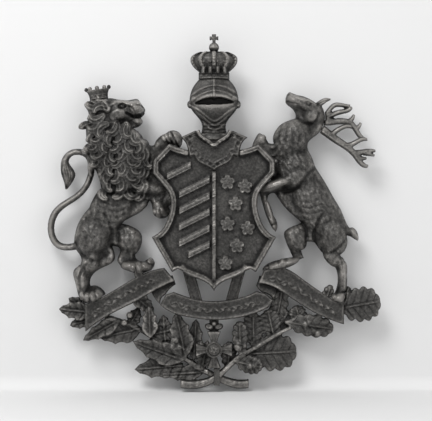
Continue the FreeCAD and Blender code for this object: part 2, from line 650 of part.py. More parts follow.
def room_for(figure):
    """The room that a piece beside or behind an animal leaves for it."""
    return prism(cornered_wire(inset_runs(figure, -size("lap_clearance")), -1), FRONT_OF_ALL)


PEG_RADIUS = size("antler_depth") / 4
pegs = []
for label, tines, back, way in [("antler_far", FAR_ANTLER, 1, Vector(1, 0, -0.05)),
                                ("antler_near", NEAR_ANTLER, 1 + size("antler_depth") + size("antler_gap"),
                                 Vector(0.8, 0, -0.6))]:
    front = back + size("antler_depth")
    antler = fused(*[stroke(path, back, front, 0.65) for path in tines]).cut(room_for(STAG))
    x, z, _ = tines[0][0]
    root = at(x, z, (back + front) / 2) - way * 10
    finish(label, fused(antler, Part.makeCylinder(PEG_RADIUS, 26, root, way)))
    pegs.append(Part.makeCylinder(PEG_RADIUS + size("spigot_clearance"), 26, root, way))
stag_holes = way_through("shield_screws", 0, SEAT)[4:8] + tapped("ribbon_screws", 2, 3)
stag_holes += [stud_hole(1), *pegs]
finish("stag", stag.cut(Part.makeCompound(stag_holes)))

# Badge: a cross with flared arms, a round boss and a bow, on a tongue behind the ribbon
BADGE_X, BADGE_Z = 0, -205
BADGE_BACK = SEAT - 2
BADGE_FRONT = SEAT + size("badge_depth")
ARM = [(4, 3), (17, 6.5), (27, 10.5)]
badge_arms = []
for turn in (0, 90, 180, 270):
    c, s = math.cos(math.radians(turn)), math.sin(math.radians(turn))
    path = [(BADGE_X + c * reach, BADGE_Z + s * reach, half) for reach, half in ARM]
    badge_arms.append(stroke(path, BADGE_BACK, BADGE_FRONT, 0.85))
boss_radius = size("badge_boss_radius")
badge_tongue = prism(cornered_wire(block(-7, -184, 7, -138), SASH_BACK), size("sash_depth"))
bow = [swelling(side * 7, -171, 7, 5, side * 20, 6, SEAT - 1) for side in (-1, 1)]
badge = fused(badge_tongue, *badge_arms, *bow,
              swelling(0, -166, 4, 4.5, 0, 7, SEAT - 1),
              round_bar(BADGE_X, BADGE_Z, boss_radius, BADGE_BACK, BADGE_FRONT + 1),
              swelling(BADGE_X, BADGE_Z, boss_radius - 3, boss_radius - 3, 0, 4, BADGE_FRONT))
ribbon_above = prism(cornered_wire(inset_runs(RIBBON_CENTRE, -size("lap_clearance")), SEAT), FRONT_OF_ALL)
badge = badge.cut(ribbon_above)
finish("badge", badge.cut(Part.makeCompound(way_through("badge_screws", SASH_BACK, SEAT))))

# Branches: a stem, leaves in layers, fruit and round pads for the screws
# One side of a leaf, from its foot to its tip, as shares of its length and half width
HOLLY_EDGE = [[(0.0, 0.1), (0.14, 0.6), (0.28, 0.95)], [(0.42, 1.0), (0.53, 0.8)],
              [(0.67, 0.9), (0.78, 0.55)], [(0.89, 0.42)]]
OAK_EDGE = [[(0.0, 0.1), (0.1, 0.3)], [(0.18, 0.5), (0.28, 0.84)], [(0.37, 0.72), (0.48, 1.0)],
            [(0.57, 0.84), (0.68, 1.0)], [(0.76, 0.78), (0.86, 0.82)], [(0.92, 0.5), (0.98, 0.35)]]


def leaf(edge, base, tip, half, back):
    """A leaf plate from its foot to its tip."""
    (x0, z0), (x1, z1) = base, tip
    length = math.hypot(x1 - x0, z1 - z0)
    ux, uz = (x1 - x0) / length, (z1 - z0) / length

    def placed(along, aside):
        return (x0 + ux * along * length - uz * aside * half, z0 + uz * along * length + ux * aside * half)

    ends = [run[0] for run in edge[1:]] + [(1.0, 0.0)]
    right = [[placed(a, -w) for a, w in run] for run in edge]
    left = [[placed(a, w) for a, w in reversed([*run[1:], end])] for run, end in zip(edge, ends)]
    outline = [*right, *reversed(left), [placed(*edge[0][0])]]
    return prism(cornered_wire(outline, back), size("leaf_depth"))


def midrib(base, tip, front):
    """The raised rib of a leaf, from clear of its foot until it fades towards the tip."""
    (x0, z0), (x1, z1) = base, tip
    path = [(x0 + (x1 - x0) * share, z0 + (z1 - z0) * share, half)
            for share, half in ((0.17, 1.8), (0.5, 1.5), (0.88, 0.8))]
    return stroke(path, front - 1, front + size("vein_height"), 0.5)


# Each leaf's foot, tip, half width and layer, counted from the wall for holly and from the front for oak
HOLLY_LEAVES = [
    ((-183, -150), (-232, -145), 14, 1), ((-184, -148), (-218, -129), 11, 0),
    ((-178, -158), (-216, -170), 11, 0), ((-140, -160), (-196, -192), 12, 1),
    ((-108, -174), (-172, -188), 17, 0), ((-45, -222), (-121, -194), 17, 1),
    ((-46, -229), (-119, -236), 17, 0), ((-15, -240), (-75, -243), 12, 0),
    ((-121, -122), (-90, -150), 12, 1), ((-42, -218), (-57, -150), 17, 1),
    ((-30, -222), (-27, -160), 13, 0), ((-95, -188), (-97, -140), 12, 2),
    ((-72, -204), (-76, -154), 15, 0), ((-125, -168), (-112, -144), 11, 0),
    ((-100, -184), (-58, -176), 13, 0), ((-18, -236), (-9, -192), 11, 0),
]
HOLLY_STEM = [(52, -257, 7), (30, -257, 7), (10, -250, 6), (-10, -240, 5), (-40, -222, 4.5), (-75, -200, 4),
              (-105, -180, 3.5), (-140, -163, 3), (-185, -152, 3)]
BERRIES = [(-126, -154), (-134, -165), (-88, -172), (-62, -201), (-52, -202), (-57, -192)]
OAK_LEAVES = [
    ((184, -144), (248, -133), 26, 0), ((186, -137), (202, -112), 10, 1), ((158, -154), (175, -109), 9, 1),
    ((106, -164), (178, -174), 17, 0), ((46, -212), (123, -208), 28, 1), ((30, -222), (72, -232), 14, 0),
    ((104, -106), (92, -168), 14, 2), ((60, -204), (58, -150), 17, 1), ((40, -216), (38, -163), 12, 0),
    ((90, -188), (80, -146), 15, 1), ((130, -168), (122, -140), 13, 1), ((84, -190), (112, -148), 13, 2),
    ((20, -236), (24, -194), 12, 2),
]
OAK_STEM = [(-50, -256, 7), (-25, -257, 7), (-2, -250, 6), (15, -237, 5), (35, -218, 4.5), (60, -203, 4),
            (95, -182, 3.5), (130, -165, 3), (186, -143, 3)]
ACORNS = [(36, -199, 80), (138, -166, 20), (152, -179, 150), (56, -229, 0)]
STEM_DEPTH = (SEAT - size("stem_gap")) / 2


def pads_for(*numbers):
    return [round_bar(*SCREWS["branch_screws"][n][:2], size("screw_boss_radius"), 0, SEAT) for n in numbers]


def branch_holes(*numbers):
    holes = way_through("branch_screws", 0, SEAT)
    return Part.makeCompound([h for n in numbers for h in holes[2 * n:2 * n + 2]])


holly = []
for base, tip, half, layer in HOLLY_LEAVES:
    back = layer * size("leaf_step")
    holly += [leaf(HOLLY_EDGE, base, tip, half, back), midrib(base, tip, back + size("leaf_depth"))]
berries = [Part.makeSphere(size("berry_radius"), at(x, z, size("leaf_depth") + 3)) for x, z in BERRIES]
holly_branch = fused(stroke(HOLLY_STEM, 0, STEM_DEPTH, 0.7), *holly, *berries, *pads_for(0, 1))
finish("holly_branch", holly_branch.cut(branch_holes(0, 1)).cut(room_for(LION)))

oak = []
for base, tip, half, layer in OAK_LEAVES:
    front = SEAT - layer * size("leaf_step")
    oak += [leaf(OAK_EDGE, base, tip, half, front - size("leaf_depth")), midrib(base, tip, front)]
acorns = [swelling(x, z, size("acorn_length") / 2, size("acorn_radius"), slope, size("acorn_radius"),
                   SEAT - 1)
          for x, z, slope in ACORNS]
oak_branch = fused(stroke(OAK_STEM, SEAT - STEM_DEPTH, SEAT, 0.7), *oak, *acorns, *pads_for(2, 3))
finish("oak_branch", oak_branch.cut(branch_holes(2, 3)).cut(room_for(STAG)))

# Tie: a clip over the crossed stems, open towards the wall
TIE_X, TIE_LOW, TIE_HIGH = 4, -256.5, -235
tie_block = doc.addObject("Part::Box", "tie_block")
tie_block.setExpression("Length", "sizes.tie_width")
tie_block.setExpression("Width", "sizes.rear_depth + sizes.lap_clearance + sizes.tie_wall")
tie_block.setExpression("Height", f"{TIE_HIGH - TIE_LOW} + 2 * sizes.tie_wall")
tie_block.setExpression("Placement.Base.x", f"{TIE_X} - sizes.tie_width / 2")
tie_block.setExpression("Placement.Base.y", "-(sizes.rear_depth + sizes.lap_clearance + sizes.tie_wall)")
tie_block.setExpression("Placement.Base.z", f"{TIE_LOW} - sizes.tie_wall")
tie_hollow = doc.addObject("Part::Box", "tie_hollow")
tie_hollow.setExpression("Length", "sizes.tie_width + 2")
tie_hollow.setExpression("Width", "sizes.rear_depth + sizes.lap_clearance + 1")
tie_hollow.Height = TIE_HIGH - TIE_LOW
tie_hollow.setExpression("Placement.Base.x", f"{TIE_X} - sizes.tie_width / 2 - 1")
tie_hollow.setExpression("Placement.Base.y", "-(sizes.rear_depth + sizes.lap_clearance)")
tie_hollow.Placement.Base.z = TIE_LOW
tie = doc.addObject("Part::Cut", "stem_tie")
tie.Label = "stem_tie"
tie.Base, tie.Tool = tie_block, tie_hollow
nodes.append(tie)

# Screws: slotted round heads, sunk in the back of the piece that they pass through
FORWARD = Rotation(Vector(1, 0, 0), 90)
for group, places in SCREWS.items():
    screws = []
    for number, (x, z, head, seat) in enumerate(places, start=1):
        stem = doc.addObject("Part::Cylinder", f"{group}_shank_{number}")
        stem.setExpression("Radius", "sizes.screw_radius")
        stem.setExpression("Height", f"{seat - head} + sizes.screw_bite - 0.5")
        stem.Placement = Placement(at(x, z, head), FORWARD)
        cap = doc.addObject("Part::Cylinder", f"{group}_head_{number}")
        cap.setExpression("Radius", "sizes.screw_head_radius")
        cap.setExpression("Height", "sizes.screw_head_height")
        cap.Placement = Placement(at(x, z, head), FORWARD)
        slot = doc.addObject("Part::Box", f"{group}_slot_{number}")
        slot.setExpression("Length", "3 * sizes.screw_head_radius")
        slot.setExpression("Width", "sizes.screw_slot_width")
        slot.setExpression("Height", "sizes.screw_slot_depth")
        corner = (x - 1.5 * size("screw_head_radius"), z - size("screw_slot_width") / 2)
        slot.Placement = Placement(at(*corner, head), FORWARD)
        whole = doc.addObject("Part::Fuse", f"{group}_blank_{number}")
        whole.Base, whole.Tool = stem, cap
        screw = doc.addObject("Part::Cut", f"{group}_{number}")
        screw.Base, screw.Tool = whole, slot
        screws.append(screw)
    bundle = doc.addObject("Part::Compound", group)
    bundle.Label = group
    bundle.Links = screws
    nodes.append(bundle)

# Every object is sound before its file is written
doc.recompute()
for piece in doc.Objects:
    if "Invalid" in piece.State or "Error" in piece.State:
        raise RuntimeError(f"{piece.Label} did not recompute")
for piece in nodes:
    if piece.Shape.isNull() or not piece.Shape.isValid():
        raise RuntimeError(f"{piece.Label} is not sound")
os.makedirs("parts", exist_ok=True)
for piece in nodes:
    piece.Shape.exportStep(f"parts/{piece.Label}.step")
    print(piece.Label, len(piece.Shape.Solids), "solid(s)")
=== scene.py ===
# %% [markdown]
# This lesson dresses a cast iron wall relief: a shield under a crowned helmet, held by a lion and a stag
# that stand on a ribbon over holly and oak branches. The engineering model already fixes every piece's
# place, outline and thickness. What it lacks is the finest of the wood carver's work that the founder
# pressed into the sand: hair, faces, veins and mouldings. A relief is seen from the front, so we carve it
# the way a carver does, as one height over the flat face of each piece, and turn that into a closed mesh
# at the end.

# %% Load the castings
import math
import bmesh
import bpy
import numpy as np
import openvdb as vdb
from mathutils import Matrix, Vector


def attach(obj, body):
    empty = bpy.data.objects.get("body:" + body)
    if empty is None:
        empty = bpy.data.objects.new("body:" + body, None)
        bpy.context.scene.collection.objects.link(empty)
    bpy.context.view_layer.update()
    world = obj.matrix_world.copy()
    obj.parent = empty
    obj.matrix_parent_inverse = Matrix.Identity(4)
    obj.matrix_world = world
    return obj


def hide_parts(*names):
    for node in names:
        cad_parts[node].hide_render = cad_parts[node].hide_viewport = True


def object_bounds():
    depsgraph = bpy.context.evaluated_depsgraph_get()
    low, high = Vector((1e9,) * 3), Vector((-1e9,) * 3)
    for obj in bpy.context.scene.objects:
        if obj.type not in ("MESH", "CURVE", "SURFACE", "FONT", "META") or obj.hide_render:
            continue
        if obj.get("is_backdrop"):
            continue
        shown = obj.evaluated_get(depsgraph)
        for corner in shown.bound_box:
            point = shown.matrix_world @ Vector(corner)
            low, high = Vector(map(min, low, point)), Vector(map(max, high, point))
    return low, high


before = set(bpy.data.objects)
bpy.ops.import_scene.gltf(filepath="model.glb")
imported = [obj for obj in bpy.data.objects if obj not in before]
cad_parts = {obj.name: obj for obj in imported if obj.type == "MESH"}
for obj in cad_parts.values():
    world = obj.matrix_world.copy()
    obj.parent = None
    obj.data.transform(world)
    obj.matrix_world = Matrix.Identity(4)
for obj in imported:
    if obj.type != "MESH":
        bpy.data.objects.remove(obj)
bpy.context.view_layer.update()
CELL = 0.8  # mm, the grain of the carving
print("castings:", ", ".join(sorted(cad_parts)))

# %% [markdown]
# Much of what follows softens a map of heights: a carver would use sandpaper. Blender's smooth modifier
# works on meshes only, so the blur is written out, once along each side of the map.


# %% Soften a map
def blurred(field, cells):
    """Softens a map by a Gaussian of that many cells."""
    reach = max(1, int(3 * cells))
    weights = np.exp(-0.5 * (np.arange(-reach, reach + 1) / cells) ** 2)
    weights /= weights.sum()
    for axis in (0, 1):
        span = field.shape[axis]
        widened = np.pad(field, [(reach, reach) if a == axis else (0, 0) for a in (0, 1)], mode="edge")
        field = sum(w * np.take(widened, range(n, n + span), axis=axis) for n, w in enumerate(weights))
    return field


dot = np.pad([[1.0]], 7)
print(f"a dot softened over one cell keeps {blurred(dot, 1.0).max():.2f} of its height")

# %% [markdown]
# A carver starts from a sawn blank. Ours comes from the model: OpenVDB turns a casting into a block of
# signed distances, and from that block we read four maps over the face, all in millimetres. They are the
# depth of the front, the depth of the back, the depth at which a screw hole behind the front ends, and the
# distance to the outline, negative inside. Sculpting in Blender would also do, but maps are quick to carve
# with NumPy. They can't hold an undercut, and a pattern that has to draw from the sand has none.


# %% Read maps from a block
REACH = 12.0  # mm from the outline, beyond which distances stop growing


def outline_distance(solid, cell):
    """How far each cell lies from the outline, negative inside, and no further than the reach."""
    near = solid.min(axis=1)
    steps = int(REACH / cell)
    border = np.zeros(near.shape, bool)
    for shift in (-2, -1, 1, 2):
        for axis in (0, 1):
            border |= (near < 0) != np.roll(near < 0, shift, axis=axis)
    on_line = np.where(border & (np.abs(near) < cell), near, -REACH)
    padded = np.pad(on_line, steps, constant_values=-REACH)
    far = np.full(near.shape, REACH)
    for i in range(-steps, steps + 1):
        for k in range(-steps, steps + 1):
            apart = math.hypot(i, k) * cell
            if 0 < apart < REACH:
                there = padded[steps + i:steps + i + near.shape[0], steps + k:steps + k + near.shape[1]]
                np.minimum(far, np.where(there > -REACH, apart - there, REACH), out=far)
    exact = border & (np.abs(near) < 1.5 * cell)
    return np.where(exact, near, np.where(near < 0, -far, far))


def first_surface(block, depth, inside):
    """The depth at which a line of sight first meets the casting, carried a little past the outline."""
    first = np.clip((block < 0).argmax(axis=1), 1, None)
    after = np.take_along_axis(block, first[:, None, :], 1)[:, 0]
    before = np.take_along_axis(block, first[:, None, :] - 1, 1)[:, 0]
    share = np.clip(before / np.where(before - after == 0, 1, before - after), 0, 1)
    met = depth[first - 1] + share * (depth[first] - depth[first - 1])
    weight = blurred(inside.astype(float), 3)
    spread = blurred(np.where(inside, met, 0.0), 3) / np.maximum(weight, 1e-4)
    return np.where(inside, met, np.where(weight > 1e-4, spread, met[inside].mean()))


def skin_floor(solid, depth, back):
    """The depth that the metal in front reaches back to: the piece's back, or the end of a screw hole."""
    filled = solid < 0
    seen = np.maximum.accumulate(filled, axis=1)
    ended = np.maximum.accumulate(seen & ~filled, axis=1)
    return np.where(filled.any(axis=1), depth[np.clip(ended.argmax(axis=1), 1, None)], back)


print("maps: outline, front, back and skin")

# %% [markdown]
# A blank keeps these maps together with the block they came from. It is read from the model's own mesh, so
# that the carved casting lands exactly where the model has it.


# %% A blank
MARGIN = 6  # empty cells kept round a casting
BAND = 14.0  # cells on each side of a surface in which distances are known


def points_of(mesh):
    """A mesh's points, in millimetres."""
    points = np.empty(len(mesh.vertices) * 3, np.float32)
    mesh.vertices.foreach_get("co", points)
    return points.reshape(-1, 3) * 1000.0


class Blank:
    """One casting, ready for carving: x to the right, z up and depth forward from the wall.

    A pad is a ball of extra metal over the end of a screw, given by x, z, the level it reaches and a radius.
    """

    def __init__(self, name, cell=CELL, pads=()):
        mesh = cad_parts[name].data
        mesh.calc_loop_triangles()
        corners = np.empty(len(mesh.loop_triangles) * 3, np.int32)
        mesh.loop_triangles.foreach_get("vertices", corners)
        points = points_of(mesh)
        self.name, self.cell = name, cell
        self.low = np.floor(points.min(0) / cell).astype(int) - MARGIN
        high = np.ceil(points.max(0) / cell).astype(int) + MARGIN + 1
        grid = vdb.FloatGrid.createLevelSetFromPolygons(
            points, triangles=corners.reshape(-1, 3).astype(np.uint32),
            transform=vdb.createLinearTransform(voxelSize=cell), halfWidth=BAND)
        self.solid = np.empty(tuple(high - self.low), np.float32)
        grid.copyToArray(self.solid, ijk=tuple(int(v) for v in self.low))
        self.x, self.z = np.meshgrid(np.arange(self.low[0], high[0]) * cell,
                                     np.arange(self.low[2], high[2]) * cell, indexing="ij")
        self.depth = -np.arange(self.low[1], high[1]) * cell
        for x, z, level, radius in pads:
            apart = np.sqrt((self.x - x)[:, None, :] ** 2 + (self.z - z)[:, None, :] ** 2
                            + (self.depth[None, :, None] - level + radius) ** 2)
            self.solid = np.minimum(self.solid, (apart - radius).astype(np.float32))
        self.edge = outline_distance(self.solid, cell)
        self.inside = self.edge < 0
        self.front = first_surface(self.solid, self.depth, self.inside)
        self.back = first_surface(self.solid[:, ::-1], self.depth[::-1], self.inside)
        self.skin = skin_floor(self.solid, self.depth, self.back)

    def melt(self, width):
        """Melts the creases of the front over a width, without drawing in the empty space outside."""
        cells = width / self.cell
        weight = np.maximum(blurred(self.inside.astype(float), cells), 1e-4)
        smooth = blurred(np.where(self.inside, self.front, 0.0), cells) / weight
        self.front = np.where(weight > 2e-4, smooth, self.front)
        return self


print("grain:", CELL, "mm")

# %% [markdown]
# A gouge follows a line. Lines here are smooth curves through a few given points, as Blender's own
# curves would be, but worked out on the map: for each cell, how far it lies aside and how far along. Each
# cut touches only the small window of the map round it, so that hundreds stay quick.


# %% Curves on a map
def smooth_path(points, step=1.5):
    """A curve through the points, as closely spaced points."""
    p = np.array(points, float)
    p = np.vstack([2 * p[0] - p[1], p, 2 * p[-1] - p[-2]])
    out = []
    for a, b, c, d in zip(p[:-3], p[1:-2], p[2:-1], p[3:]):
        count = max(2, int(np.hypot(*(c - b)[:2]) / step))
        for s in np.arange(count) / count:
            out.append(0.5 * (2 * b + (c - a) * s + (2 * a - 5 * b + 4 * c - d) * s**2
                              + (3 * b - a - 3 * c + d) * s**3))
    return np.array(out + [p[-2]])


def window(blank, low, high):
    """The part of a blank's maps between two corners."""
    i0, k0 = (np.floor(np.array(low) / blank.cell).astype(int) - blank.low[[0, 2]]).clip(0)
    i1, k1 = (np.ceil(np.array(high) / blank.cell).astype(int) - blank.low[[0, 2]] + 1).clip(0)
    return slice(i0, i1), slice(k0, k1)


def along_path(blank, path, reach):
    """For each cell near a path: its side step from it, and how far along it lies, from 0 to 1."""
    w = window(blank, path[:, :2].min(0) - reach, path[:, :2].max(0) + reach)
    x, z = blank.x[w], blank.z[w]
    best = np.full(x.shape, 1e9)
    side, share = np.zeros(x.shape), np.zeros(x.shape)
    lengths = np.hypot(*np.diff(path[:, :2], axis=0).T)
    total, passed = max(lengths.sum(), 1e-6), 0.0
    for (ax, az), (bx, bz), length in zip(path[:-1, :2], path[1:, :2], lengths):
        if length < 1e-6:
            continue
        ux, uz = (bx - ax) / length, (bz - az) / length
        on = np.clip((x - ax) * ux + (z - az) * uz, 0, length)
        gap = np.hypot(x - ax - on * ux, z - az - on * uz)
        nearer = gap < best
        best = np.where(nearer, gap, best)
        turn = np.where((x - ax) * uz - (z - az) * ux < 0, -gap, gap)
        side = np.where(nearer, turn, side)
        share = np.where(nearer, (passed + on) / total, share)
        passed += length
    return w, side, share


print("a curve through three points:", len(smooth_path([(0, 0), (10, 5), (20, 0)])), "points")

# %% [markdown]
# A carver has only a few gouges, and so do we: a dome, and a stroke or a groove along a curve. Nearly all
# that follows is made of these three.


# %% Domes, strokes and grooves
def heading_step(degrees):
    """How far one step in a heading goes to the right and up."""
    return math.cos(math.radians(degrees)), math.sin(math.radians(degrees))


def dome(blank, x, z, along, across, height, slope=0.0, power=1.0):
    """An egg, raised or sunk, with its length along a slope. A higher power makes its edge softer."""
    reach = max(along, across)
    w = window(blank, (x - reach, z - reach), (x + reach, z + reach))
    c, s = heading_step(slope)
    u = ((blank.x[w] - x) * c + (blank.z[w] - z) * s) / along
    v = ((blank.z[w] - z) * c - (blank.x[w] - x) * s) / across
    blank.front[w] += height * np.clip(1 - u**2 - v**2, 0, None) ** (0.5 * power)


def stroke(blank, points, width, height, taper=(1.0, 1.0), round_top=True, level=None):
    """A ridge, or a cut if the height is negative. A level sets it on that depth and keeps the higher."""
    w, side, share = along_path(blank, smooth_path(points), width * 2.2)
    size = taper[0] + (taper[1] - taper[0]) * share
    u = np.abs(side) / (width * np.maximum(size, 0.05))
    rise = height * size * (np.sqrt(np.clip(1 - u**2, 0, None)) if round_top else np.exp(-2 * u**2))
    if level is None:
        blank.front[w] += rise
    else:
        blank.front[w] = np.where(rise > 0, np.maximum(blank.front[w], level + rise), blank.front[w])


def groove(blank, points, width, depth, taper=(1.0, 1.0)):
    """A cut with soft edges along a curve, which tapers from its start to its end."""
    stroke(blank, points, width, -depth, taper, round_top=False)


print("gouges: dome, stroke, groove")

# %% [markdown]
# Two finishes are worked out for a whole map at once: a bead along the outline, and the unevenness that a
# chasing hammer leaves. The second is noise that has been softened to a grain. Its draws are seeded, so
# that the relief is the same each time.


# %% Beads and chasing
def edged(blank, inset, width, height):
    """A bead that runs at one distance inside the outline."""
    blank.front += height * np.exp(-((-blank.edge - inset) / width) ** 2) * blank.inside


rng = np.random.default_rng(7)


def chased(blank, grain, height):
    """The slight unevenness that a hand leaves on a smooth surface."""
    cloud = blurred(rng.standard_normal(blank.front.shape), grain / blank.cell)
    blank.front += height * cloud / cloud.std()


print("over a whole map: edged, chased")

# %% [markdown]
# Carved maps become castings again in three steps. First the front rolls over towards the outline, as a
# pattern is eased so that it draws from the sand. It keeps a skin over the screw holes that end inside, by
# a soft swelling where it must. Then front, back and outline make a block of distances, whose rear few
# millimetres stay the model's own, so that the screw recesses stay.


# %% From maps to a block
SKIN = 1.6  # mm of metal over the end of a screw
LEAST = 1.5  # mm, the thinnest casting
SWELLING = 3.0  # mm, how softly a swelling fades


def soft_max(a, b, width):
    """The greater of two distances, with the corner between them eased over a width."""
    blend = np.clip(0.5 + 0.5 * (a - b) / width, 0, 1)
    return b + (a - b) * blend + width * blend * (1 - blend)


def rolled_front(blank, roll, drop):
    """The front, rolled over by a drop within the roll's width of the outline, with a skin over screws."""
    inward = np.clip(-blank.edge / roll, 0, 1)
    front = blank.front - drop * (1 - np.sqrt(1 - (1 - inward) ** 2))
    wanted = np.clip(blank.skin + SKIN - front, 0, 6) * (blank.edge < -1)
    swell = blurred(wanted, SWELLING / blank.cell)
    front = np.maximum(front + swell * wanted.max() / max(swell.max(), 1e-6), blank.back + LEAST)
    return np.where(wanted > 0, np.maximum(front, blank.skin + SKIN), front)


def carved_block(blank, front, ease, keep):
    """The signed distances of a carved casting, with its front edge eased and its rear kept."""
    cell = blank.cell
    gx, gz = np.gradient(blurred(front, 0.8), cell)
    lean = np.sqrt(1 + gx**2 + gz**2)
    ahead = (blank.depth[None, :, None] - front[:, None, :]) / lean[:, None, :]
    behind = blank.back[:, None, :] - blank.depth[None, :, None]
    field = soft_max(blank.edge[:, None, :], ahead, ease)
    field = np.maximum(field, behind)
    rear = np.minimum(blank.solid, keep + behind)
    field = np.clip(np.maximum(field, rear), -3 * cell, 3 * cell).astype(np.float32)
    grid = vdb.FloatGrid(3 * cell)
    grid.copyFromArray(field, ijk=tuple(int(v) for v in blank.low))
    grid.transform = vdb.createLinearTransform(voxelSize=cell)
    return grid


print(f"thinnest metal: {LEAST} mm, and {SKIN} mm over a screw")

# %% [markdown]
# Last, OpenVDB meshes the block, with larger faces where the shape is flat. A remesh modifier could do so
# too, but it needs a mesh to start from. Each point also carries how far it stands proud of its
# surroundings: dusting rubs the high points pale, and the hollows get painted shade. The flat back gets
# neither, so its points are all alike.


# %% From a block to a casting
castings = []
WELD = 2e-6  # m, points nearer than this become one
AROUND = 3.6  # mm of surroundings that a point stands proud of
BACK_FACE = 1.0  # mm, points within this of the back belong to it


def largest_part(points, corners):
    """Drops the specks that come loose where a tip is thinner than a cell, and keeps the casting itself."""
    label = np.arange(len(points))
    while True:
        lower = label.copy()
        np.minimum.at(lower, corners, label[corners].min(axis=1)[:, None])
        lower = lower[lower]
        if np.array_equal(lower, label):
            break
        label = lower
    kept = label == np.bincount(label).argmax()
    return points[kept], (np.cumsum(kept) - 1)[corners[kept[corners[:, 0]]]]


def carved_mesh(name, grid, adaptivity):
    """A mesh of a block's surface, in metres, without specks or doubled points."""
    points, triangles, quads = grid.convertToPolygons(isovalue=0.0, adaptivity=adaptivity)
    corners = np.vstack([np.hstack([triangles, triangles[:, 2:]]), quads]).astype(int)
    points, corners = largest_part(points, corners)
    mesh = bpy.data.meshes.new(name)
    faces = [face[:3] if face[2] == face[3] else face for face in corners.tolist()]
    mesh.from_pydata((points / 1000.0).tolist(), [], faces)
    welded = bmesh.new()
    welded.from_mesh(mesh)
    bmesh.ops.remove_doubles(welded, verts=welded.verts, dist=WELD)
    welded.to_mesh(mesh)
    welded.free()
    mesh.polygons.foreach_set("use_smooth", np.ones(len(mesh.polygons), bool))
    return mesh


def mark_wear_and_shade(blank, front, mesh):
    """How proud the front stands at each point, for pale wear on ridges and painted shade in hollows. The
    back gets nothing.
    """
    points = points_of(mesh)
    proud = blurred(front, 1.2) - blurred(front, AROUND / blank.cell)
    column = np.round(points[:, [0, 2]] / blank.cell).astype(int) - blank.low[[0, 2]]
    column = tuple(column.clip(0, np.array(front.shape) - 1).T)
    on_back = -points[:, 1] < blank.back[column] + BACK_FACE
    # This one value drives both the rubbed wear on high points and the painted shade in the hollows.
    wear_and_shade_layer = mesh.attributes.new("proud", "FLOAT", "POINT")
    wear_and_shade_layer.data.foreach_set("value", np.where(on_back, 0.0, proud[column]).astype(np.float32))


def cast(blank, roll=4.0, drop=4.0, ease=1.2, keep=5.0, adaptivity=0.03):
    """Turns a carved blank into the casting that takes the place of the model's own."""
    front = rolled_front(blank, roll, drop)
    mesh = carved_mesh(blank.name + "_carved", carved_block(blank, front, ease, keep), adaptivity)
    mark_wear_and_shade(blank, front, mesh)
    piece = bpy.data.objects.new(blank.name + "_carved", mesh)
    bpy.context.scene.collection.objects.link(piece)
    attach(piece, "root")
    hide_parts(blank.name)
    castings.append(piece)
    print(f"{blank.name}: {len(mesh.vertices)} points, front to {front[blank.inside].max():.1f} mm")


print("castings so far:", len(castings))

# %% [markdown]
# The shield is a sunk field inside a moulded rim. The rim is a run of moulding: a bead at the outside, a
# narrow quirk and a slope down to the field, so its profile is a function of the distance to the outline.
# At the top it runs on a little, until it goes under the gorget. The model already raises slanting bars on
# the left of the field and roses on its right, with flat tops. The carver rounds them: a swell and two
# scribed lines along each bar, and five cupped petals round an eye. A mask of what stands above the field
# keeps these cuts off the ground between.

# %% Shield
shield = Blank("shield")
FIELD_LEVEL = 28.0  # mm, the sunk ground
RIM_LEVEL = 34.5  # mm, only the rim and what laps it stand higher
BARS = [(-70, 46, -34), (-52, 20, -6), (-52, -4, -6), (-52, -28, -6), (-52, -52, -6), (-38, -69, -6)]
ROSES = [(20, 44), (46, 38), (32, 12), (20, -18), (50, -24), (34, -50), (17, -76)]
from_edge = -shield.edge
on_rim = (shield.front > RIM_LEVEL) & (from_edge < 9.5)
moulding = 1.5 * np.exp(-((from_edge - 2.6) / 1.5) ** 2) - 1.5 * np.exp(-((from_edge - 5.6) / 0.7) ** 2)
shield.front += np.where(on_rim, moulding, 0.0)
for end in (-1, 1):
    stroke(shield, [(end * 47, 89.5), (end * 41, 87.2)], 4.0, 3.0, level=33.0)
plain = shield.front.copy()
raised = (plain > FIELD_LEVEL + 1.5) & (plain < FIELD_LEVEL + 5)
for x0, z0, x1 in BARS:
    low_end, high_end = (x0 - 8, z0 + 1.5), (x1 + 8, z0 + 9.5 + (x1 - x0) / 2)
    stroke(shield, [low_end, high_end], 5.6, 1.8)
    for shift in (-2.9, 2.9):
        groove(shield, [(low_end[0], low_end[1] + shift), (high_end[0], high_end[1] + shift)], 0.9, 1.3)
for x, z in ROSES:
    for petal in range(5):
        slope = 90 + 72 * petal
        c, s = heading_step(slope)
        dome(shield, x + 6.8 * c, z + 6.8 * s, 4.6, 4.4, 1.6, slope=slope)
        dome(shield, x + 7.6 * c, z + 7.6 * s, 2.8, 2.4, -1.5, slope=slope)
    dome(shield, x, z, 3.6, 3.6, 2.6)
    dome(shield, x, z, 1.2, 1.2, -1.0)
shield.front = np.where(raised, shield.front, plain)
chased(shield, 1.3, 0.22)
cast(shield, roll=2.0, drop=1.4, ease=0.8)

# %% [markdown]
# The helmet is sheet steel in real life, so its iron likeness has turned edges: bands over the brow, a
# comb down the middle, and a pointed guard over the chin whose two rolled edges meet in a V. The gorget
# below it has an embossed border between two beads. Sheet metal could be bent from planes with a solidify
# modifier, but ridges along a few curves on the model's own blank keep the eye slit and the outline as
# they are.

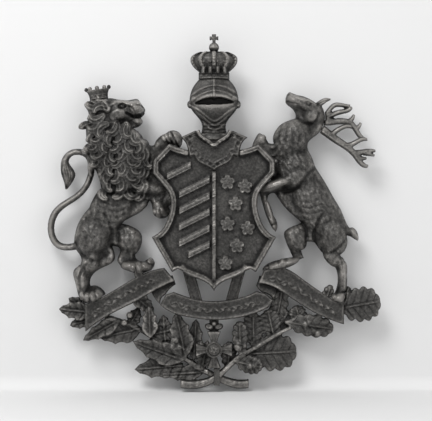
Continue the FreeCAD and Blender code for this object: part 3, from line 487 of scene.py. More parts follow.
# %% Helmet and gorget
helmet = Blank("helmet")
helmet.melt(0.5)
for lift in (0, 8):
    band = [(-36, 163 + lift), (-18, 174 + lift), (0, 179 + lift), (18, 176 + lift), (37, 166 + lift)]
    stroke(helmet, band, 1.7, 2.2)
stroke(helmet, [(0, 168), (0, 182), (0, 197)], 2.6, 2.4, taper=(1, 0.7))
for drop in (0, 5.5, 13):
    guard = [(-37, 158 - drop), (-20, 148 - drop), (-9, 139 - drop), (1, 134 - drop), (11, 139 - drop),
             (22, 148 - drop), (38, 158 - drop)]
    stroke(helmet, guard, 1.9, 2.4)
for side in (-1, 1):
    dome(helmet, side * 31, 168, 3.4, 3.4, 2.6)
for level in (120, 125, 130):
    stroke(helmet, [(-22, level), (0, level - 2), (22, level)], 1.3, 1.8)
cast(helmet, roll=2.0, drop=1.2, ease=1.0)

gorget = Blank("gorget")
edged(gorget, 2.2, 1.1, 2.0)
edged(gorget, 8.8, 1.0, 1.5)
border = np.exp(-((-gorget.edge - 5.4) / 1.8) ** 2) * (gorget.z < 116)
gorget.front += 1.9 * border * np.cos(gorget.x * 0.62) * np.cos(gorget.z * 0.62)
chased(gorget, 1.2, 0.18)
cast(gorget, roll=2.0, drop=1.4, ease=0.9)

# %% [markdown]
# The crown is a goldsmith's piece, and a goldsmith works in pearls: rows of them along the arches, gems on
# the band and four leaves on the circlet. Each pearl could be a sphere of its own, but in a casting they
# are one with the arch, so small domes are raised on a finer blank, evenly spaced along a curve for each
# arch.

# %% The crown
FINE = CELL * 0.75  # mm, a finer grain for small pieces
PEARL_STEP = 5.2  # mm from one pearl to the next
crown = Blank("helmet_crown", cell=FINE)
pearls = 0
for angle in (24, 57, 90, 123, 156):
    out = math.cos(math.radians(angle))
    arch = [(23 * out, 207), (33 * out, 217), (34.5 * out, 226), (28 * out, 234), (14 * out, 240)]
    for x, z in smooth_path(arch, PEARL_STEP)[1:-1]:
        dome(crown, x, z, 2.1, 2.1, 1.7)
        pearls += 1
for z in (198.6, 205.6):
    stroke(crown, [(-24, z), (0, z), (24, z)], 1.0, 1.3)
for x in (-20, -12, 0, 12, 20):
    dome(crown, x, 202.2, 2.6 if abs(x) > 15 else 3.6, 1.8, 1.6)
for angle in (44, 75, 105, 136):
    x = 21 * math.cos(math.radians(angle))
    for lean in (-4, 0, 4):
        stroke(crown, [(x, 207), (x + 0.5 * lean, 214), (x + lean, 220)], 1.4, 2.0, taper=(1.1, 0.5))
    dome(crown, x, 222, 2.0, 2.0, 2.2)
stroke(crown, [(-8, 244), (0, 243.4), (8, 244)], 1.2, 1.2)
print("pearls on the arches:", pearls)
cast(crown, roll=1.6, drop=1.4, ease=0.8)

# %% [markdown]
# The lion's own coronet is a smaller ring with five points, which the model gives. Two thin ridges and
# five gems go along its band. It leans back with the head, so the cuts are worked out level and then
# turned: a helper gives the place on the leaning piece for a step across and a step up.

# %% The lion's coronet
coronet = Blank("lion_coronet", cell=FINE)
LEAN_BACK = 8  # degrees


def on_coronet(across, up):
    """A place on the coronet, which sits tilted on the lion's head."""
    c, s = heading_step(LEAN_BACK)
    return (-172 + across * c - up * s, 168 + across * s + up * c)


for up in (1.5, 6.5):
    stroke(coronet, [on_coronet(a, up - 0.012 * (16 - abs(a))) for a in (-18, -9, 0, 9, 18)], 1.0, 1.2)
for across in (-14, -7, 0, 7, 14):
    dome(coronet, *on_coronet(across, 4), 1.9, 1.5, 1.4)
cast(coronet, roll=1.8, drop=1.6, ease=0.9)

# %% [markdown]
# Hair in a casting is locks, not strands. A lock is a stroke that bends as it goes and swells before its
# tip, like a comma. It stands over a smooth base, and where two overlap the higher one wins, which gives
# the deep scalloped shadows between curls. Blender's hair would give thin strands instead. Short hair is
# the same lock, small and flat, in jittered rows.


# %% Locks of hair
def lock_points(x, z, heading, length, curl):
    """A comma: it sets out in a heading, in degrees, and bends more and more."""
    path, turn = [(x, z)], math.radians(heading)
    for n in range(10):
        turn += math.radians(curl) * (n + 1) / 55
        x, z = x + math.cos(turn) * length / 10, z + math.sin(turn) * length / 10
        path.append((x, z))
    return np.array(path)


def lock(blank, base, x, z, heading, length, width, curl, height):
    """One lock of hair over the smooth base: three strands that swell and end in a curled tip."""
    w, side, share = along_path(blank, lock_points(x, z, heading, length, curl), width * 1.1)
    size = np.clip(np.sin(math.pi * np.clip(0.14 + 0.86 * share, 0, 1)) ** 0.55, 0.05, 1)
    u = side / (width * size)
    rise = height * np.sqrt(np.clip(1 - u**2, 0, None)) * (0.55 + 0.45 * share)
    rise *= 1 - 0.2 * np.cos(u * 3 * math.pi + math.pi) * (np.abs(u) < 0.85)
    blank.front[w] = np.where(np.abs(u) < 1, np.maximum(blank.front[w], base[w] + rise), blank.front[w])


def hair(blank, where, heading, length, width, height, spacing):
    """Short flat tufts in jittered rows over part of a piece, combed in a heading that a function gives."""
    base, count = blank.front.copy() - 0.25 * height, 0
    for row, z in enumerate(np.arange(blank.z.min(), blank.z.max(), spacing)):
        for x in np.arange(blank.x.min(), blank.x.max(), spacing) + 0.5 * spacing * (row % 2):
            px, pz = x + rng.uniform(-0.4, 0.4) * spacing, z + rng.uniform(-0.4, 0.4) * spacing
            if where(px, pz):
                turn = rng.uniform(-35, 35)
                lock(blank, base, px, pz, heading(px, pz) - 0.4 * turn, length, width, turn, height)
                count += 1
    return count


print(f"a lock of 28 mm ends {abs(lock_points(0, 0, 90, 28, 150)[-1, 0]):.0f} mm to the side")

# %% [markdown]
# The lion is the boldest carving. Its mane is rows of comma locks that fan out from the face and then
# fall. Each could be placed by hand, but a grid of starting points with a little seeded jitter keeps the
# rows even and not mechanical.

# %% Lion: the mane
lion = Blank("lion", pads=[(-111, -84, 35, 6.5), (-180.5, -128.5, 35, 6.5)])


def in_egg(x, z, cx, cz, along, across, slope=0.0):
    """Whether a place lies inside an egg round a centre."""
    c, s = heading_step(slope)
    u = ((x - cx) * c + (z - cz) * s) / along
    v = ((z - cz) * c - (x - cx) * s) / across
    return u * u + v * v < 1


def has_mane(x, z):
    """Whether a place, or which cells of a map, lie under the mane."""
    neck = in_egg(x, z, -168, 128, 23, 44) | in_egg(x, z, -148, 100, 40, 42)
    chest = in_egg(x, z, -120, 88, 27, 27) | in_egg(x, z, -138, 58, 36, 26)
    return (neck | chest) & ~in_egg(x, z, -129, 150, 27, 17, 6)


under_mane = blurred(has_mane(lion.x, lion.z).astype(float), 3.0 / CELL)
body = lion.melt(2.4).front.copy()
lion.front = body + (lion.melt(7.0).front - body) * under_mane
mane_base = lion.front.copy() - 1.2
ROW_STEP = 11.5  # mm from one row of locks down to the next
LOCK_STEP = 14.0  # mm from one lock to the next in a row
count = 0
for row, z in enumerate(np.arange(166, 34, -ROW_STEP)):
    for x in np.arange(-192, -90, LOCK_STEP) + (0.5 * LOCK_STEP if row % 2 else 0.0):
        px, pz = x + rng.uniform(-2, 2), z + rng.uniform(-2, 2)
        if not has_mane(px, pz):
            continue
        away = math.degrees(math.atan2(pz - 152, px + 128)) % 360
        share = min(1.0, max(0.0, (146 - pz) / 75))
        heading = away * (1 - share) + (270 + 24 * math.sin(px * 0.09)) * share
        curl = 150 if (row + int((x + 192) / LOCK_STEP)) % 2 else -150
        lock(lion, mane_base, px, pz, heading - curl * 0.2, rng.uniform(26, 31), 9.0, curl, 9.0)
        count += 1
print("locks in the mane:", count)

# %% [markdown]
# A face is read before anything else, so it gets the most cuts for its size. The lion roars in profile: a
# heavy brow, a deep-set eye, a broad muzzle with whisker pits, and an open mouth with two teeth. Sculpting
# it by hand would do as well, but here each feature is one dome or stroke that can be moved by its
# numbers.

# %% Lion: the face
stroke(lion, [(-153, 159), (-144, 165), (-132, 164), (-123, 160)], 4.4, 3.4, taper=(0.7, 1))
dome(lion, -136, 156.5, 7.0, 4.8, -4.4, slope=8)
dome(lion, -136, 156.8, 3.6, 3.0, 4.4)
dome(lion, -135.4, 156.8, 1.1, 1.1, -1.6)
stroke(lion, [(-143, 154), (-136, 152), (-129, 155)], 1.6, 1.6)
stroke(lion, [(-131, 161), (-121, 161), (-112, 164)], 5.0, 3.0)
dome(lion, -108.5, 162, 5.2, 4.4, 3.6)
dome(lion, -106.5, 158.5, 2.6, 1.7, -3.4)
dome(lion, -115, 152, 11, 6.4, 4.0, slope=-8)
groove(lion, [(-127, 158), (-121, 154), (-117, 147)], 1.8, 2.2)
groove(lion, [(-106, 156), (-109, 152), (-108, 148)], 1.1, 1.8)
dome(lion, -143, 144, 13, 9, 4.0, slope=20)
stroke(lion, [(-103, 147), (-111, 143), (-120, 142), (-130, 147)], 4.0, -9.0, taper=(1.1, 0.5))
for x, z in ((-108, 144.6), (-119, 142.6)):
    dome(lion, x, z, 1.7, 2.8, 5.0)
stroke(lion, [(-107, 140), (-114, 138.5), (-122, 140)], 2.2, 2.8)
stroke(lion, [(-108, 133.5), (-115, 134), (-125, 138)], 3.4, 3.0, taper=(1, 0.5))
for dot in range(6):
    dome(lion, -110 - 3.6 * (dot % 3), 153.5 - 3.2 * (dot // 3), 1.1, 1.1, -1.4)
stroke(lion, [(-158, 152), (-162, 160), (-168, 166)], 5.8, 5.0, taper=(1, 0.45))
stroke(lion, [(-159, 153), (-163, 160), (-167, 164)], 2.4, -4.4, taper=(1, 0.5))
for x, z, heading, curl in [(-112, 129, -80, 90), (-118, 128, -95, -90), (-124, 126, -110, 90),
                            (-116, 119, -60, -80)]:
    lock(lion, mane_base, x, z, heading, 14, 4.4, curl, 5.4)
print("face: brow, eye, muzzle, mouth, ear and beard")

# %% [markdown]
# Below the mane the lion is short-haired and lean. Soft grooves part the ribs, the flank and the thighs,
# which the model already raises as masses. Then flat tufts are combed down the back and the legs: they are
# low, so that the muscles still lead and the hair only breaks up the shine.

# %% Lion: the body
for n in range(5):
    rib = [(-170 - 2.5 * n, 20 - 9.5 * n), (-157 - n, 12 - 9 * n), (-143, 9 - 8.5 * n), (-131, 13 - 8 * n)]
    groove(lion, rib, 3.2, 1.1, taper=(0.5, 1))
groove(lion, [(-163, -2), (-155, -18), (-151, -34), (-153, -52)], 5.2, 3.0, taper=(0.4, 1))
groove(lion, [(-206, -46), (-196, -62), (-182, -72), (-168, -70), (-157, -60)], 4.2, 2.6)
groove(lion, [(-139, -19), (-144, -34), (-143, -48), (-147, -60)], 4.6, 2.8)
groove(lion, [(-168, 34), (-152, 27), (-136, 28), (-120, 33)], 4.0, 3.2)
groove(lion, [(-122, 44), (-104, 40), (-88, 33)], 2.6, 1.6, taper=(1, 0.4))
groove(lion, [(-190, -78), (-200, -96), (-198, -114)], 2.6, 2.2)
stroke(lion, [(-203, -82), (-207, -98), (-202, -118)], 3.0, 1.8, taper=(0.6, 1))


def combed_lion(x, z):
    """Down the back and flank, then down each leg."""
    return 255 + 25 * math.sin(0.03 * (x + z)) if z > -50 else 268 + 12 * math.sin(0.08 * z)


def short_hair(x, z):
    """Whether a place lies below the lion's mane, and not out on its tail."""
    return z < 60 and x > -215 and not has_mane(x, z + 6) and not has_mane(x, z - 4)


print("tufts on the lion:", hair(lion, short_hair, combed_lion, 12, 3.2, 1.6, 7.0))

# %% [markdown]
# Paws make a lion. Three of them show toes with claws, and the one that grips the shield's rim shows four
# knuckles with grooves between. A last few locks hang at the heels, the belly and the elbows, and the
# tail's tuft is furrowed. Then the whole lion is chased twice, finely and coarsely, and cast.


# %% Lion: paws and tail
def toes(blank, places, length, width, height):
    """A paw's toes, side by side, each with a knuckle and a claw. A place is x, z and a heading."""
    for x, z, heading in places:
        dome(blank, x, z, length, width, height, slope=heading, power=0.8)
        c, s = heading_step(heading)
        dome(blank, x - 0.25 * length * c, z - 0.25 * length * s, 0.3 * length, 0.8 * width, 0.3 * height)
        tip = (x + 0.75 * length * c, z + 0.75 * length * s)
        stroke(blank, [tip, (tip[0] + 2.6 * c, tip[1] + 2.6 * s)], 1.2, 1.6, taper=(1, 0.4))


toes(lion, [(-197, -125, -105), (-188, -126, -92), (-179, -125, -75), (-171, -121, -50)], 8.0, 4.3, 4.6)
toes(lion, [(-120, -83, -85), (-111, -81, -70), (-102, -78, -50), (-96, -72, -20)], 7.5, 4.3, 4.6)
toes(lion, [(-91, -2, -100), (-83, -3, -85), (-75, 0, -65)], 7.0, 4.0, 4.0)
for n in range(4):
    dome(lion, -76 + 7 * n, 112 - 1.5 * n, 9.5, 3.7, 3.4, slope=-60, power=0.8)
for n in range(3):
    parting = [(-78 + 7 * n, 121 - n), (-72.5 + 7 * n, 111 - 1.5 * n), (-67 + 7 * n, 101 - 2 * n)]
    groove(lion, parting, 1.2, 3.0)
fur = lion.front.copy() - 0.5
FRINGE = [(-199, -84, -130, 70), (-204, -78, -140, 60), (-150, -60, -100, 60), (-152, -72, -95, -60),
          (-112, 0, -60, 70), (-122, -5, -70, 70), (-133, -11, -70, 70), (-104, 29, -80, 70),
          (-114, 30, -90, 70), (-140, -70, -120, 60), (-206, -40, -120, -60), (-203, -28, -110, -60),
          (-128, -24, -50, 60), (-116, -34, -60, 60), (-90, 24, -95, 60)]
for x, z, heading, curl in FRINGE:
    lock(lion, fur, x, z, heading, 13, 3.4, curl, 2.6)
for shift in (-6, -2, 2, 6):
    furrow = [(-223 + 0.3 * shift, 76), (-221 + shift, 62), (-219 + 0.9 * shift, 52),
              (-221 + 0.2 * shift, 37)]
    groove(lion, furrow, 1.7, 3.4, taper=(0.5, 1))
chased(lion, 2.0, 0.32)
chased(lion, 5.0, 0.3)
cast(lion, roll=7.0, drop=5.5, ease=2.0, adaptivity=0.07)

# %% [markdown]
# The stag is smoother than the lion: short hair, long muscles, and a shaggy ruff only at the throat. Its
# head is a wedge with a nostril, a thin mouth, an eye under a ridge and a round cheek. The ruff is a few
# rows of nearly straight locks, each row set out between two points on the neck.

# %% Stag: head, neck and ruff
stag = Blank("stag", pads=[(101, -77, 35, 6.5), (101, -73, 31, 4.5), (187, -128.5, 35, 6.5)]).melt(2.8)
stroke(stag, [(110, 165), (116, 162.5), (125, 160)], 1.7, -2.8, taper=(1, 0.5))
dome(stag, 111.5, 174, 2.2, 1.5, -2.6, slope=40)
dome(stag, 140.5, 160.5, 5.2, 3.6, -2.8, slope=-25)
dome(stag, 140.5, 160.7, 3.0, 2.4, 3.0)
stroke(stag, [(132, 168), (141, 165.5), (150, 161)], 3.0, 1.8)
stroke(stag, [(117, 175), (128, 169), (137, 163)], 3.2, 1.4)
groove(stag, [(122, 143), (131, 135), (142, 131), (152, 136), (156, 146)], 2.8, 3.2)
groove(stag, [(126, 156), (134, 150), (144, 149)], 2.4, 1.6)
stroke(stag, [(154, 159), (162, 164), (171, 167)], 1.8, -3.0, taper=(1, 0.4))
ruff = stag.front.copy() - 0.5
RUFF_ROWS = [(98, 128, 138, 126), (94, 118, 140, 115), (93, 107, 138, 104), (95, 96, 138, 92),
             (97, 85, 138, 80)]
tufts = 0
for x0, z0, x1, z1 in RUFF_ROWS:
    for share in np.linspace(0, 1, 6):
        x, z = x0 + (x1 - x0) * share, z0 + (z1 - z0) * share
        lock(stag, ruff, x + rng.uniform(-1.5, 1.5), z + rng.uniform(-1.5, 1.5), -112 + 34 * share, 15, 4.2,
             40 if share > 0.5 else -40, 2.9 - 1.3 * share)
        tufts += 1
print("tufts in the ruff:", tufts)

# %% [markdown]
# The body shows what lies under a thin coat: ribs, the fold of the shoulder, the thigh and the long
# tendons of the legs. Broad soft grooves part the masses, thin ones draw ribs and tendons, and a low dome
# joins the near foreleg to the shoulder. The combed tufts come last, so that they run over all of it.

# %% Stag: body and legs
for n in range(5):
    rib = [(166 + 2.6 * n, 28 - 10 * n), (154 + n, 19 - 9.5 * n), (141, 14 - 8.5 * n), (130, 16 - 8 * n)]
    groove(stag, rib, 3.2, 1.0, taper=(0.5, 1))
groove(stag, [(152, 68), (141, 58), (131, 44), (117, 33), (104, 30)], 4.2, 3.4)
groove(stag, [(160, -4), (153, -18), (149, -32), (151, -47)], 4.4, 3.8, taper=(0.6, 1))
groove(stag, [(196, -40), (184, -54), (171, -62), (160, -58)], 3.6, 2.4)
groove(stag, [(132, -17), (138, -30), (137, -44)], 3.6, 3.6)
groove(stag, [(190, -74), (192, -92), (191, -112)], 2.0, 1.8)
groove(stag, [(112, 47), (100, 45), (84, 39), (72, 33)], 1.8, 1.8)
groove(stag, [(112, 38), (98, 36), (86, 31)], 2.4, 2.0, taper=(1, 0.4))
dome(stag, 121, 49, 20, 13, 5.0, slope=25, power=1.6)
dome(stag, 73, 33, 5, 4, 1.6)
groove(stag, [(77, 18), (79, 4), (84, -10)], 1.6, 1.3)
for path in [[(184, -118), (178, -128), (172, -134)], [(196, -120), (188, -119), (181, -121)],
             [(80, -80), (81, -86), (82, -90)], [(86, -20), (91, -17), (96, -15)]]:
    groove(stag, path, 1.7, 3.0)
fur = stag.front.copy() - 0.4
for x, z, heading in [(206, -29, -60), (210, -33, -65), (205, -34, -70), (199, -68, -110), (196, -60, -115),
                      (118, -2, -110), (127, -10, -105), (108, 8, -115), (132, -58, -95)]:
    lock(stag, fur, x, z, heading, 12, 3.0, 40, 2.2)


def combed_stag(x, z):
    """Back along the body and down the legs."""
    return 292 + 12 * math.sin(0.05 * (x - z)) if z > -60 else 272


def short_coat(x, z):
    """Whether a place lies on the stag's body, below its ruff and above its shins."""
    return z < 112 and x > 90 and z > -100


print("tufts on the stag:", hair(stag, short_coat, combed_stag, 10, 2.8, 1.6, 6.5))
chased(stag, 1.8, 0.3)
chased(stag, 5.0, 0.3)
cast(stag, roll=7.0, drop=5.5, ease=2.0)

# %% [markdown]
# The antlers are castings of their own, pegged into the head. Antler is round in section and furrowed
# along its length. The model's beams only narrow towards the front, so a strong roll rounds them, and two
# thin grooves follow each branch. A curve with a bevel would be rounder still, but would lose the outline.

# %% Antlers
NEAR = [[(158, 126), (170, 117), (185, 106), (200, 96), (210, 86), (217, 76), (223, 70), (230, 68)],
        [(174, 112), (180, 119), (189, 125), (198, 128), (206, 126)],
        [(194, 100), (206, 101), (217, 107), (229, 107)],
        [(208, 88), (220, 90), (231, 91), (241, 90)]]
FAR = [[(160, 136), (176, 135), (192, 136), (204, 133), (211, 126), (216, 117), (222, 109)],
       [(163, 137), (178, 145), (190, 150), (200, 152), (207, 157)],
       [(168, 142), (173, 153), (181, 160), (192, 160)]]
for name, branches in (("antler_near", NEAR), ("antler_far", FAR)):
    antler = Blank(name).melt(0.8)
    for branch in branches:
        for shift in (-1.5, 1.5):
            groove(antler, [(x, z + shift) for x, z in branch], 0.8, 0.9, taper=(1, 0.4))
    cast(antler, roll=3.6, drop=5.0, ease=1.6)

# %% [markdown]
# The ribbon is a long strip of parchment in iron. It has a thin raised hem along both long edges and waves
# slightly, so that a raking light runs along it in bands. Along its middle goes a running vine, the
# engraver's usual filler: a wavy stem with a leaf in each bend, worked out from one route on each flight.
# The sashes behind are flat straps with the same hem, only finer.

# %% Ribbon and sashes
VINES = {"ribbon_left": [(-181, -154), (-150, -133), (-118, -115), (-84, -99)],
         "ribbon_right": [(84, -98), (118, -111), (150, -132), (181, -150)],
         "ribbon_centre": [(-62, -136), (-30, -144), (0, -146), (32, -143), (70, -134)]}


def vine(blank, route, bend=3.4, pitch=19.0):
    """A wavy stem along a route, with a leaf inside each bend."""
    path = smooth_path(route, 1.0)
    steps = np.gradient(path, axis=0)
    steps /= np.hypot(*steps.T)[:, None]
    aside = np.stack([-steps[:, 1], steps[:, 0]], axis=1)
    sway = np.sin(np.arange(len(path)) * 2 * math.pi / pitch)[:, None]
    stroke(blank, (path + aside * bend * sway)[::3], 1.1, 1.6)
    for n in range(int(pitch / 4), len(path) - 4, int(pitch / 2)):
        x, z = path[n] - aside[n] * bend * sway[n] * 0.9
        slope = math.degrees(math.atan2(steps[n, 1], steps[n, 0]))
        dome(blank, x, z, 4.2, 2.3, 1.9, slope=slope + 24 * float(np.sign(sway[n, 0])))


for name, route in VINES.items():
    ribbon = Blank(name)
    ribbon.melt(0.5)
    on_face = np.clip((ribbon.front - 22.5) / 1.5, 0, 1)
    sunk = 0.6 * np.clip((-ribbon.edge - 3.5) / 2, 0, 1)
    ribbon.front += on_face * (0.9 * np.sin(ribbon.x * 0.085 + 0.6) - sunk)
    edged(ribbon, 2.0, 1.0, 1.3)
    vine(ribbon, route)
    chased(ribbon, 1.3, 0.2)
    cast(ribbon, roll=1.6, drop=1.0, ease=0.9)
for name in ("sash_left", "sash_right"):
    sash = Blank(name)
    edged(sash, 1.8, 0.9, 0.9)
    sash.front -= 0.7 * np.exp(-((-sash.edge - 4.2) / 0.9) ** 2)
    cast(sash, roll=1.4, drop=0.8, ease=0.8)

# %% [markdown]
# The badge hangs from a bow: a cross of four flaring arms round a boss. Each arm is the same three
# strokes, turned by a quarter, and the boss has two rings and a flower. Rings are functions of the
# distance to the centre, which is simpler than a path and exact at any grain.

# %% The badge
badge = Blank("badge", cell=FINE)
centre_z = -205
for quarter in range(4):
    c, s = heading_step(90 * quarter)
    for aside in (-0.34, 0.0, 0.34):
        arm = [(r * c - r * aside * s, centre_z + r * s + r * aside * c) for r in (12, 26)]
        stroke(badge, arm, 1.0, 1.3, taper=(0.7, 1.1))
radius = np.hypot(badge.x, badge.z - centre_z)
for ring, height in ((10.8, 1.2), (7.2, 0.9)):
    badge.front += height * np.exp(-((radius - ring) / 0.9) ** 2)
for petal in range(6):
    c, s = heading_step(60 * petal + 30)
    dome(badge, 3.6 * c, centre_z + 3.6 * s, 2.4, 1.5, 1.5, slope=60 * petal + 30)
for side in (-1, 1):
    dome(badge, side * 8, -170, 3.6, 2.2, -2.0, slope=side * 20)
    groove(badge, [(side * 2, -168), (side * 8, -167), (side * 13, -171)], 0.8, 1.0)
cast(badge, roll=1.6, drop=1.2, ease=0.8)

# %% [markdown]
# A leaf in a founder's pattern is a plate with life in it: a midrib between two grooves, side veins that
# run forward from it, and a bend across. A leaf could be a mesh of its own, bent by a modifier, but then
# each would have to be fitted to the branch. Here a leaf is carved where the map lies at that leaf's own
# layer, so a leaf in front hides the veins of one behind.


# %% Leaf veins
def veins(blank, foot, tip, half, level, pairs, belly):
    """Veins and a bend on one leaf from foot to tip, with a half width, at the level of its layer."""
    (x0, z0), (x1, z1) = foot, tip
    length = math.hypot(x1 - x0, z1 - z0)
    w = window(blank, (min(x0, x1) - half, min(z0, z1) - half), (max(x0, x1) + half, max(z0, z1) + half))
    ux, uz = (x1 - x0) / length, (z1 - z0) / length
    along = ((blank.x[w] - x0) * ux + (blank.z[w] - z0) * uz) / length
    aside = (-(blank.x[w] - x0) * uz + (blank.z[w] - z0) * ux)
    lift = blank.front[w] - level
    mine = (lift > -0.8) & (lift < 1.9) & (along > -0.02) & (along < 1.02) & (np.abs(aside) < half * 1.05)
    phase = (along - 0.55 * np.abs(aside) / length) * pairs
    gap = np.abs(phase - np.round(phase)) / pairs * length
    out = np.clip(np.abs(aside) / half, 0, 1)
    across = np.where(belly > 0, np.cos(1.3 * out), -out)
    rise = belly * across * np.sin(math.pi * np.clip(along, 0.02, 1)) ** 0.5
    rise -= 1.3 * np.exp(-(gap / 0.9) ** 2) * np.clip((np.abs(aside) - 1.5) / 2, 0, 1)
    rise -= 1.1 * np.exp(-((np.abs(aside) - 2.4) / 0.7) ** 2)
    blank.front[w] += np.where(mine, rise, 0.0)


print("veins: a midrib between two grooves, and side veins that run forward")

# %% [markdown]
# A stem is a round twig, furrowed by its bark and knotted where side twigs were cut off. In the model it
# is a flat band that narrows along a route, so a rounded ridge with wavy furrows follows that route, only
# where the map shows the band and no leaf lies over it.


# %% Bark
STEM_HALF = 6.4  # mm, half the width of a stem at its cut end
STEM_TAPER = 3.6  # mm that this loses by the tip


def bark(blank, route, level):
    """Rounds a stem, furrows it lengthwise and gives it the stubs of cut twigs."""
    w, side, share = along_path(blank, smooth_path(route), 8.0)
    half = STEM_HALF - STEM_TAPER * share
    on_stem = (np.abs(side) < half) & (np.abs(blank.front[w] - level) < 1.2)
    u = np.clip(np.abs(side) / half, 0, 1)
    furrows = 0.5 * np.sin(side * 2.6 + 2.0 * np.sin(share * 40)) * (1 - u)
    blank.front[w] += np.where(on_stem, 2.6 * np.sqrt(1 - u**2) + furrows - 0.8, 0.0)
    for n in (1, 3, 5):
        dome(blank, *route[n], 3.4, 2.6, 1.6, slope=25 * n)


print("bark: a round ridge, furrows and three knots")

# %% [markdown]
# Holly leaves are stiff and cupped, with their edges up, and the berries have a small eye. The leaves lie
# in layers. Each row gives a leaf's foot, tip, half width and layer, which is how the model sets them out,
# so that the veins land on the leaves.

# %% Holly
HOLLY_LEAVES = [((-183, -150), (-232, -145), 14, 1), ((-184, -148), (-218, -129), 11, 0),
                ((-178, -158), (-216, -170), 11, 0), ((-140, -160), (-196, -192), 12, 1),
                ((-108, -174), (-172, -188), 17, 0), ((-45, -222), (-121, -194), 17, 1),
                ((-46, -229), (-119, -236), 17, 0), ((-15, -240), (-75, -243), 12, 0),
                ((-121, -122), (-90, -150), 12, 1), ((-42, -218), (-57, -150), 17, 1),
                ((-30, -222), (-27, -160), 13, 0), ((-95, -188), (-97, -140), 12, 2),
                ((-72, -204), (-76, -154), 15, 0), ((-125, -168), (-112, -144), 11, 0),
                ((-100, -184), (-58, -176), 13, 0), ((-18, -236), (-9, -192), 11, 0)]
BERRIES = [(-126, -154), (-134, -165), (-88, -172), (-62, -201), (-52, -202), (-57, -192)]
HOLLY_STEM = [(51, -257), (30, -257), (10, -250), (-10, -240), (-40, -222), (-75, -200), (-105, -180),
              (-140, -163)]
LAYER = 3.5  # mm from one layer of leaves to the next
HOLLY_LEVEL = 7  # mm, the layer at the back
holly = Blank("holly_branch")
for foot, tip, half, layer in HOLLY_LEAVES:
    veins(holly, foot, tip, half, HOLLY_LEVEL + LAYER * layer, 5, -2.2)
bark(holly, HOLLY_STEM, 7.7)
for x, z in BERRIES:
    dome(holly, x + 0.6, z - 0.6, 1.2, 1.2, -1.6)
chased(holly, 1.6, 0.25)
cast(holly, roll=2.6, drop=2.2, ease=1.0)

# %% [markdown]
# Oak leaves swell forward, and the veins are cut into the swelling. Their layers count backwards from the
# front. The acorns sit in cups with a rim, so each gets a dome for the cup, a cut in front of it and a
# point at the tip, all turned by the acorn's own lean.

# %% Oak
OAK_LEAVES = [((184, -144), (248, -133), 26, 0), ((186, -137), (202, -112), 10, 1),
              ((158, -154), (175, -109), 9, 1), ((106, -164), (178, -174), 17, 0),
              ((46, -212), (123, -208), 28, 1), ((30, -222), (72, -232), 14, 0),
              ((104, -106), (92, -168), 14, 2), ((60, -204), (58, -150), 17, 1),
              ((40, -216), (38, -163), 12, 0), ((90, -188), (80, -146), 15, 1),
              ((130, -168), (122, -140), 13, 1), ((84, -190), (112, -148), 13, 2),
              ((20, -236), (24, -194), 12, 2)]
ACORNS = [(36, -199, 80), (138, -166, 20), (152, -179, 150), (56, -229, 0)]
OAK_STEM = [(-49, -256), (-25, -257), (-2, -250), (15, -237), (35, -218), (60, -203), (95, -182),
            (130, -165)]
OAK_LEVEL = 16  # mm, the layer in front
oak = Blank("oak_branch")
for foot, tip, half, layer in OAK_LEAVES:
    veins(oak, foot, tip, half, OAK_LEVEL - LAYER * layer, 6, 2.2)
bark(oak, OAK_STEM, 16.0)
for x, z, slope in ACORNS:
    c, s = heading_step(slope)
    dome(oak, x - 3.4 * c, z - 3.4 * s, 4.4, 6.2, 1.3, slope=slope)
    stroke(oak, [(x + c - 6 * s, z + s + 6 * c), (x + c + 6 * s, z + s - 6 * c)], 0.8, -1.4)
    dome(oak, x + 7.4 * c, z + 7.4 * s, 1.2, 1.2, 1.2)
chased(oak, 1.6, 0.25)
cast(oak, roll=2.6, drop=2.2, ease=1.0)

# %% [markdown]
# Where the two stems cross, a band ties them. It is a bracket that reaches round both, so the whole of the
# model's block is kept for it, and only three ridges are added in front.

# %% The tie
tie = Blank("stem_tie", cell=FINE)
for x in (1.2, 4, 6.8):
    stroke(tie, [(x, -262), (x, -246), (x, -230)], 1.2, 0.8)
cast(tie, roll=1.2, drop=0.8, ease=0.6, keep=30.0)

# %% [markdown]
# A finish is a small net of shader nodes. It could be drawn in Blender's node editor, but a helper that
# adds a node and sets or links its inputs keeps a net readable as text, from the first texture to the
# shader.


# %% Nets of nodes
def new_finish(name):
    """A new material, its net of nodes and the shader at the end of it."""
    finish = bpy.data.materials.new(name)
    finish.use_nodes = True
    return finish, finish.node_tree, finish.node_tree.nodes["Principled BSDF"]


def feed(net, node, **inputs):
    """Sets values on a node's inputs, or links the outputs of other nodes to them."""
    for name, value in inputs.items():
        socket = node.inputs[name.replace("_", " ")]
        if isinstance(value, bpy.types.NodeSocket):
            net.links.new(value, socket)
        else:
            socket.default_value = value
    return node


def add(net, kind, **inputs):
    """A new node of a kind, with its inputs fed."""
    return feed(net, net.nodes.new("ShaderNode" + kind), **inputs)


def tones(net, share, stops):
    """The colour for a share from 0 to 1, blended between stops of a position and a colour."""
    node = add(net, "ValToRGB", Fac=share)
    for stop, (position, colour) in zip(node.color_ramp.elements, (stops[0], stops[-1])):
        stop.position = position
        stop.color = (*colour, 1)
    for position, colour in stops[1:-1]:
        node.color_ramp.elements.new(position).color = (*colour, 1)
    return node.outputs["Color"]


print("finishes to come: iron, steel and paper")
